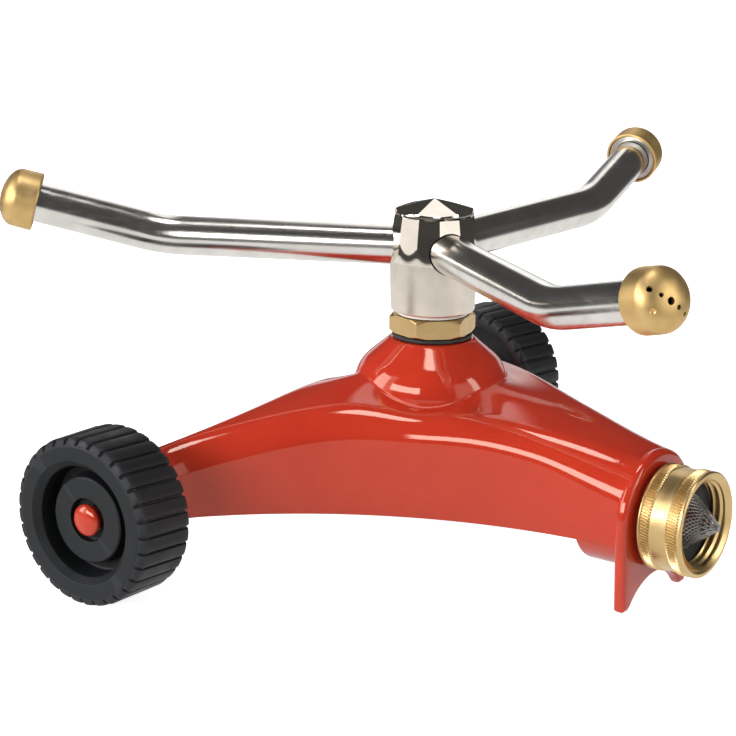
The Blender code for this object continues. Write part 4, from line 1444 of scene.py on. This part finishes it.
# Points of a tube's middle line, the corner of its bend and the direction beyond it
def armPath(angle):
    look = armLook
    radial = Vector((math.cos(angle), math.sin(angle), 0))
    tangent = Vector((-math.sin(angle), math.cos(angle), 0))
    level = radial * math.cos(look["lean"]) + tangent * math.sin(look["lean"])
    outward = level * math.cos(look["rise"]) + Vector((0, 0, 1)) * math.sin(look["rise"])
    root = Vector((0, 0, armHeight))
    corner = root + radial * look["reach"]
    bend = radial.angle(outward)
    trim = look["bend"] * math.tan(bend / 2)
    middle = (outward - radial).normalized()
    centre = corner + middle * (look["bend"] / math.cos(bend / 2))
    first = corner - radial * trim - centre
    last = corner + outward * trim - centre
    straight = corner - radial * trim
    points = [root + radial * look["start"]]
    points += [points[0].lerp(straight, part / 8) for part in range(1, 8)]
    steps = 20
    for step in range(steps + 1):
        part = step / steps
        before = math.sin((1 - part) * bend) / math.sin(bend)
        beyond = math.sin(part * bend) / math.sin(bend)
        points.append(centre + first * before + last * beyond)
    end = corner + outward * (nozzleLook["start"] + nozzleLook["tubeInside"])
    points += [points[-1].lerp(end, part / 4) for part in (1, 2, 3)]
    return points + [end], corner, outward


def makeArmTube(label, points, angle):
    steel = makeMetal(f"tubeSteel{label}", "tube", (14.0, 900.0, 900.0), 0.0000012, angle)
    bm = bmesh.new()
    addTube(bm, points, tubeRadius, 72, tubeRadius - armLook["wall"])
    finishPiece(f"armTube{label}", bm, "rotor", steel, [f"arm_{label}"], 40)


def makeCollar(label, place):
    look = nozzleLook
    radius = look["collarRadius"]
    inside = tubeRadius + 0.0002
    depth = look["start"] + look["collarDepth"]
    end = depth + look["collarLength"]
    collar = [(inside, depth + 0.0004, 0.0002), (radius, depth, 0.0004), (radius, end, 0.0003), (inside, end, 0.0002)]
    bm = bmesh.new()
    addTurned(bm, braced(roundCorners(collar, 4, closed=True)), 72, True, place)
    finishPiece(f"nozzleCollar{label}", bm, "rotor", collarSteel, [f"nozzle_collar_{label}"], 40)


# Skirt, domed end and hollow of a nozzle cap
def nozzleShell(place):
    look = nozzleLook
    start = look["start"]
    shoulder = start + look["skirt"]
    inner = look["radius"] - look["wall"]
    rows = [
        (inner, start, 0.0003),
        (look["radius"], start, 0.0005),
        (look["radius"] - 0.0001, shoulder, 0.00012),
        (look["dome"] - 0.00002, shoulder + 0.0002, 0),
    ]
    rows = braced(roundCorners(rows, 4))
    flat = look["domeLength"] / look["dome"]
    dome = [(x, shoulder + y * flat) for x, y in arcPoints((0, 0), look["dome"], 3, 90, 36)]
    hollow = [(x, shoulder - 0.0010 + y * flat) for x, y in arcPoints((0, 0), inner, 90, 0, 16)]
    rows += dome[:-1] + [(0, shoulder + look["domeLength"])]
    bm = bmesh.new()
    outer = addTurned(bm, rows, 96, False, place)
    inside = addTurned(bm, [(0, hollow[0][1])] + hollow[1:], 96, False, place)
    joinRings(bm, inside[-1], outer[0])
    return bm


# Shapes of the jets and of the small dent, to be cut out of a cap
def jetShapes(corner, outward):
    look = nozzleLook
    across = outward.cross(Vector((0, 0, 1))).normalized()
    upward = across.cross(outward)
    row = across * math.cos(look["rowTurn"]) + upward * math.sin(look["rowTurn"])
    side = upward * math.cos(look["rowTurn"]) - across * math.sin(look["rowTurn"])
    centre = corner + outward * (look["start"] + look["jetCentre"])
    deep = look["radius"] - look["wall"] - look["jetInside"]
    clear = look["jetOutside"]
    cutters = bmesh.new()
    for index, radius in enumerate(look["jets"]):
        lean = math.radians(look["firstJet"] + look["jetStep"] * index)
        aim = (outward * math.cos(lean) + row * math.sin(lean) + side * look["rowShift"]).normalized()
        jet = [(0, deep), (radius, deep), (radius, clear), (0, clear)]
        addTurned(cutters, jet, 28, False, aimed(centre, aim))
    out, sideways, up = look["dent"]
    aim = (outward * out + across * sideways + upward * up).normalized()
    middle = centre + aim * (look["dentReach"] + look["dentRadius"] - look["dentDepth"])
    bmesh.ops.create_uvsphere(
        cutters, u_segments=24, v_segments=16, radius=look["dentRadius"], matrix=Matrix.Translation(middle)
    )
    return cutters


def makeArm(number):
    label = number + 1
    angle = armLook["turn"] + 2 * math.pi * number / 3
    points, corner, outward = armPath(angle)
    place = aimed(corner, outward)
    makeArmTube(label, points, angle)
    makeCollar(label, place)
    bm = cutAway(nozzleShell(place), jetShapes(corner, outward))
    finishPiece(f"nozzleCap{label}", bm, "rotor", nozzleBrass, [f"nozzle_cap_{label}"], 30)


makeCastBase()
print("cast base made")
for side, label in ((-1, "left"), (1, "right")):
    makeWheel(side, label)
    makeAxleCap(side, label)
print("wheels made")
makeCoupling()
makeGauze()
print("inlet made")
makeSpindle()
makeGasket()
makeHubBody()
makeHubCap()
print("hub made")
for number in range(3):
    makeArm(number)
print("arms made")

# Pieces kept from the frame, with their own materials
carried = {
    "inlet_tailpiece": couplingBrass,
    "coupling_washer": blackRubber,
    "axle_pin_left": zincSteel,
    "axle_pin_right": zincSteel,
    "axle_washer_left": zincSteel,
    "axle_washer_right": zincSteel,
    "spindle_nut": zincSteel,
    "thrust_washer": whiteNylon,
    "stem_washer": whiteNylon,
    "hub_bush": whiteNylon,
}
for name, material in carried.items():
    for slot in frame["nodes"][name].material_slots:
        slot.material = material
print("frame pieces painted")

# Camera

viewLook = {
    "place": (0.41457, -0.59104, 0.25292),
    "azimuth": 36.65,
    "elevation": 15.13,
    "roll": 0.68,
    "lens": 114.86,
    "sensor": 36.0,
    "nearest": 0.01,
}


def makeCamera():
    azimuth, elevation, roll = (math.radians(viewLook[label]) for label in ("azimuth", "elevation", "roll"))
    back = Vector(
        (math.sin(azimuth) * math.cos(elevation), -math.cos(azimuth) * math.cos(elevation), math.sin(elevation))
    )
    right = Vector((math.cos(azimuth), math.sin(azimuth), 0))
    up = back.cross(right)
    rolledRight = right * math.cos(roll) + up * math.sin(roll)
    rolledUp = up * math.cos(roll) - right * math.sin(roll)
    turned = Matrix((rolledRight, rolledUp, back)).transposed().to_4x4()
    data = bpy.data.cameras.new("photoCamera")
    data.lens = viewLook["lens"]
    data.sensor_width = viewLook["sensor"]
    data.clip_start = viewLook["nearest"]
    camera = bpy.data.objects.new("photoCamera", data)
    camera.matrix_world = Matrix.Translation(Vector(viewLook["place"]) + spindle) @ turned
    bpy.context.scene.collection.objects.link(camera)
    bpy.context.scene.camera = camera


# Floor, world and lamps

floorLook = {"size": 3.0, "glow": 0.84, "colour": (0.80, 0.80, 0.80), "near": 0.95, "far": 0.08, "fade": (0.42, 0.60)}
worldLook = {
    "background": 1.0,
    "around": 0.06,
    "overhead": 10.0,
    "overheadFrom": 79.5,
    "overheadTo": 82,
    "soft": 1.5,
}
cardLooks = {
    "backCard": {"azimuth": 124.5, "halfWidth": 6.5, "low": 8, "high": 60, "level": 1.3, "soft": 2.5},
    "horizonCard": {"azimuth": 126, "halfWidth": 34, "low": -20, "high": 8, "level": 1.0, "soft": 3},
    "leftFoot": {"azimuth": -134, "halfWidth": 19, "low": -12, "high": 6, "level": 1.1, "soft": 2},
    "rightFoot": {"azimuth": 2, "halfWidth": 20, "low": -12, "high": 34, "level": 1.3, "soft": 3},
    "sideCard": {"azimuth": -125, "halfWidth": 7, "low": 6, "high": 44, "level": 1.5},
    "leftCard": {"azimuth": -141, "halfWidth": 11, "low": 5, "high": 38, "level": 6.2},
    "stripCard": {"azimuth": -95.5, "halfWidth": 23.5, "low": 10, "high": 26, "level": 10.4},
    "rightCard": {"azimuth": 17.5, "halfWidth": 6, "low": -2, "high": 40, "level": 6.0},
}
lampLooks = {
    "frontFill": {"azimuth": -78, "elevation": 12, "distance": 0.9, "size": (0.7, 0.5), "strength": 0.3},
    "topFill": {"azimuth": -53, "elevation": 80, "distance": 0.9, "size": (0.6, 0.6), "strength": 0.05},
}


def makeFloor():
    look = floorLook
    half = look["size"] / 2
    bm = bmesh.new()
    bm.faces.new([bm.verts.new((x * half, y * half, 0)) for x, y in ((-1, -1), (1, -1), (1, 1), (-1, 1))])
    paint = Paint("paleFloor", 0.0, {"Base Color": (*look["colour"], 1), "Roughness": 0.9, "Specular IOR Level": 0.1})
    plain = paint.shader.outputs[0]
    path = paint.node("ShaderNodeLightPath").outputs
    glow = paint.node("ShaderNodeEmission", {"Strength": look["glow"]})
    bright = paint.node("ShaderNodeAddShader", {0: plain, 1: glow.outputs[0]})
    seen = paint.node("ShaderNodeMixShader", {0: path["Is Camera Ray"], 1: plain, 2: bright.outputs[0]})
    # Reflections of the floor fade with distance
    away = paint.node("ShaderNodeVectorMath", {0: paint.coords}, operation="LENGTH").outputs["Value"]
    fade = mapRange(paint.tree, away, *look["fade"], look["near"], look["far"], smooth=True)
    mirror = paint.node("ShaderNodeEmission", {"Strength": fade})
    either = calculate(paint.tree, "MAXIMUM", path["Is Glossy Ray"], path["Is Transmission Ray"])
    reflected = paint.node("ShaderNodeMixShader", {0: either, 1: seen.outputs[0], 2: mirror.outputs[0]})
    paint.tree.links.new(reflected.outputs[0], paint.tree.nodes["Material Output"].inputs["Surface"])
    floor = objectFrom("studioFloor", bm, paint.material)


# Mask of one card in the surroundings, by direction in degrees
def makeCardGroup():
    labels = ("Azimuth", "Elevation", "Centre", "Half Width", "Low", "High", "Soft")
    sockets = [(label, "Float") for label in labels]
    group, given, _ = newGroup("studioCard", "ShaderNodeTree", sockets, [("Mask", "Float")])

    def work(kind, *values):
        return calculate(group, kind, *values)

    def edge(value, middle, sign):
        offset = work("MULTIPLY", work("SUBTRACT", value, middle), sign)
        return mapRange(group, work("DIVIDE", offset, given["Soft"]), -1.0, smooth=True)

    offset = work("SUBTRACT", given["Azimuth"], given["Centre"])
    shifted = work("FLOORED_MODULO", work("ADD", offset, 180.0), 360.0)
    across = edge(work("ABSOLUTE", work("SUBTRACT", shifted, 180.0)), given["Half Width"], -1.0)
    above = edge(given["Elevation"], given["Low"], 1.0)
    below = edge(given["Elevation"], given["High"], -1.0)
    return closeGroup(group, {0: work("MULTIPLY", across, work("MULTIPLY", above, below))})


def makeWorld():
    look = worldLook
    world = bpy.data.worlds.new("studioWorld")
    world.use_nodes = True
    bpy.context.scene.world = world
    tree = world.node_tree
    coords = addNode(tree, "ShaderNodeTexCoord")
    split = addNode(tree, "ShaderNodeSeparateXYZ", {0: coords.outputs["Generated"]}).outputs
    azimuth = calculate(tree, "DEGREES", calculate(tree, "ARCTAN2", split["Y"], split["X"]))
    elevation = calculate(tree, "DEGREES", calculate(tree, "ARCSINE", split["Z"]))
    limits = (look["overheadFrom"], look["overheadTo"])
    level = mapRange(tree, elevation, *limits, look["around"], look["overhead"], smooth=True)
    group = makeCardGroup()
    for card in cardLooks.values():
        inputs = {"Azimuth": azimuth, "Elevation": elevation, "Centre": card["azimuth"]}
        inputs.update({"Half Width": card["halfWidth"], "Low": card["low"], "High": card["high"]})
        inputs["Soft"] = card.get("soft", look["soft"])
        mask = addNode(tree, "ShaderNodeGroup", inputs, node_tree=group)
        level = addNode(tree, "ShaderNodeMix", {0: mask.outputs[0], 2: level, 3: card["level"]}).outputs[0]
    path = addNode(tree, "ShaderNodeLightPath")
    camera = {0: path.outputs["Is Camera Ray"], 2: level, 3: look["background"]}
    seen = addNode(tree, "ShaderNodeMix", camera)
    background = tree.nodes["Background"]
    background.inputs["Color"].default_value = (1, 1, 1, 1)
    tree.links.new(seen.outputs[0], background.inputs["Strength"])


lampAimHeight = 0.06


def makeLamps():
    aim = spindle + Vector((0, 0, lampAimHeight))
    for name, look in lampLooks.items():
        data = bpy.data.lights.new(name, "AREA")
        data.shape = "RECTANGLE"
        data.size, data.size_y = look["size"]
        data.energy = look["strength"] * math.pi * data.size * data.size_y
        azimuth = math.radians(look["azimuth"])
        elevation = math.radians(look["elevation"])
        toward = polar(math.cos(elevation), azimuth, math.sin(elevation))
        lamp = bpy.data.objects.new(name, data)
        lamp.matrix_world = aimed(aim + toward * look["distance"], toward)
        lamp.visible_glossy = False
        bpy.context.scene.collection.objects.link(lamp)


makeCamera()
makeFloor()
makeWorld()
makeLamps()
bpy.context.scene.view_settings.view_transform = "Standard"
print("studio made")
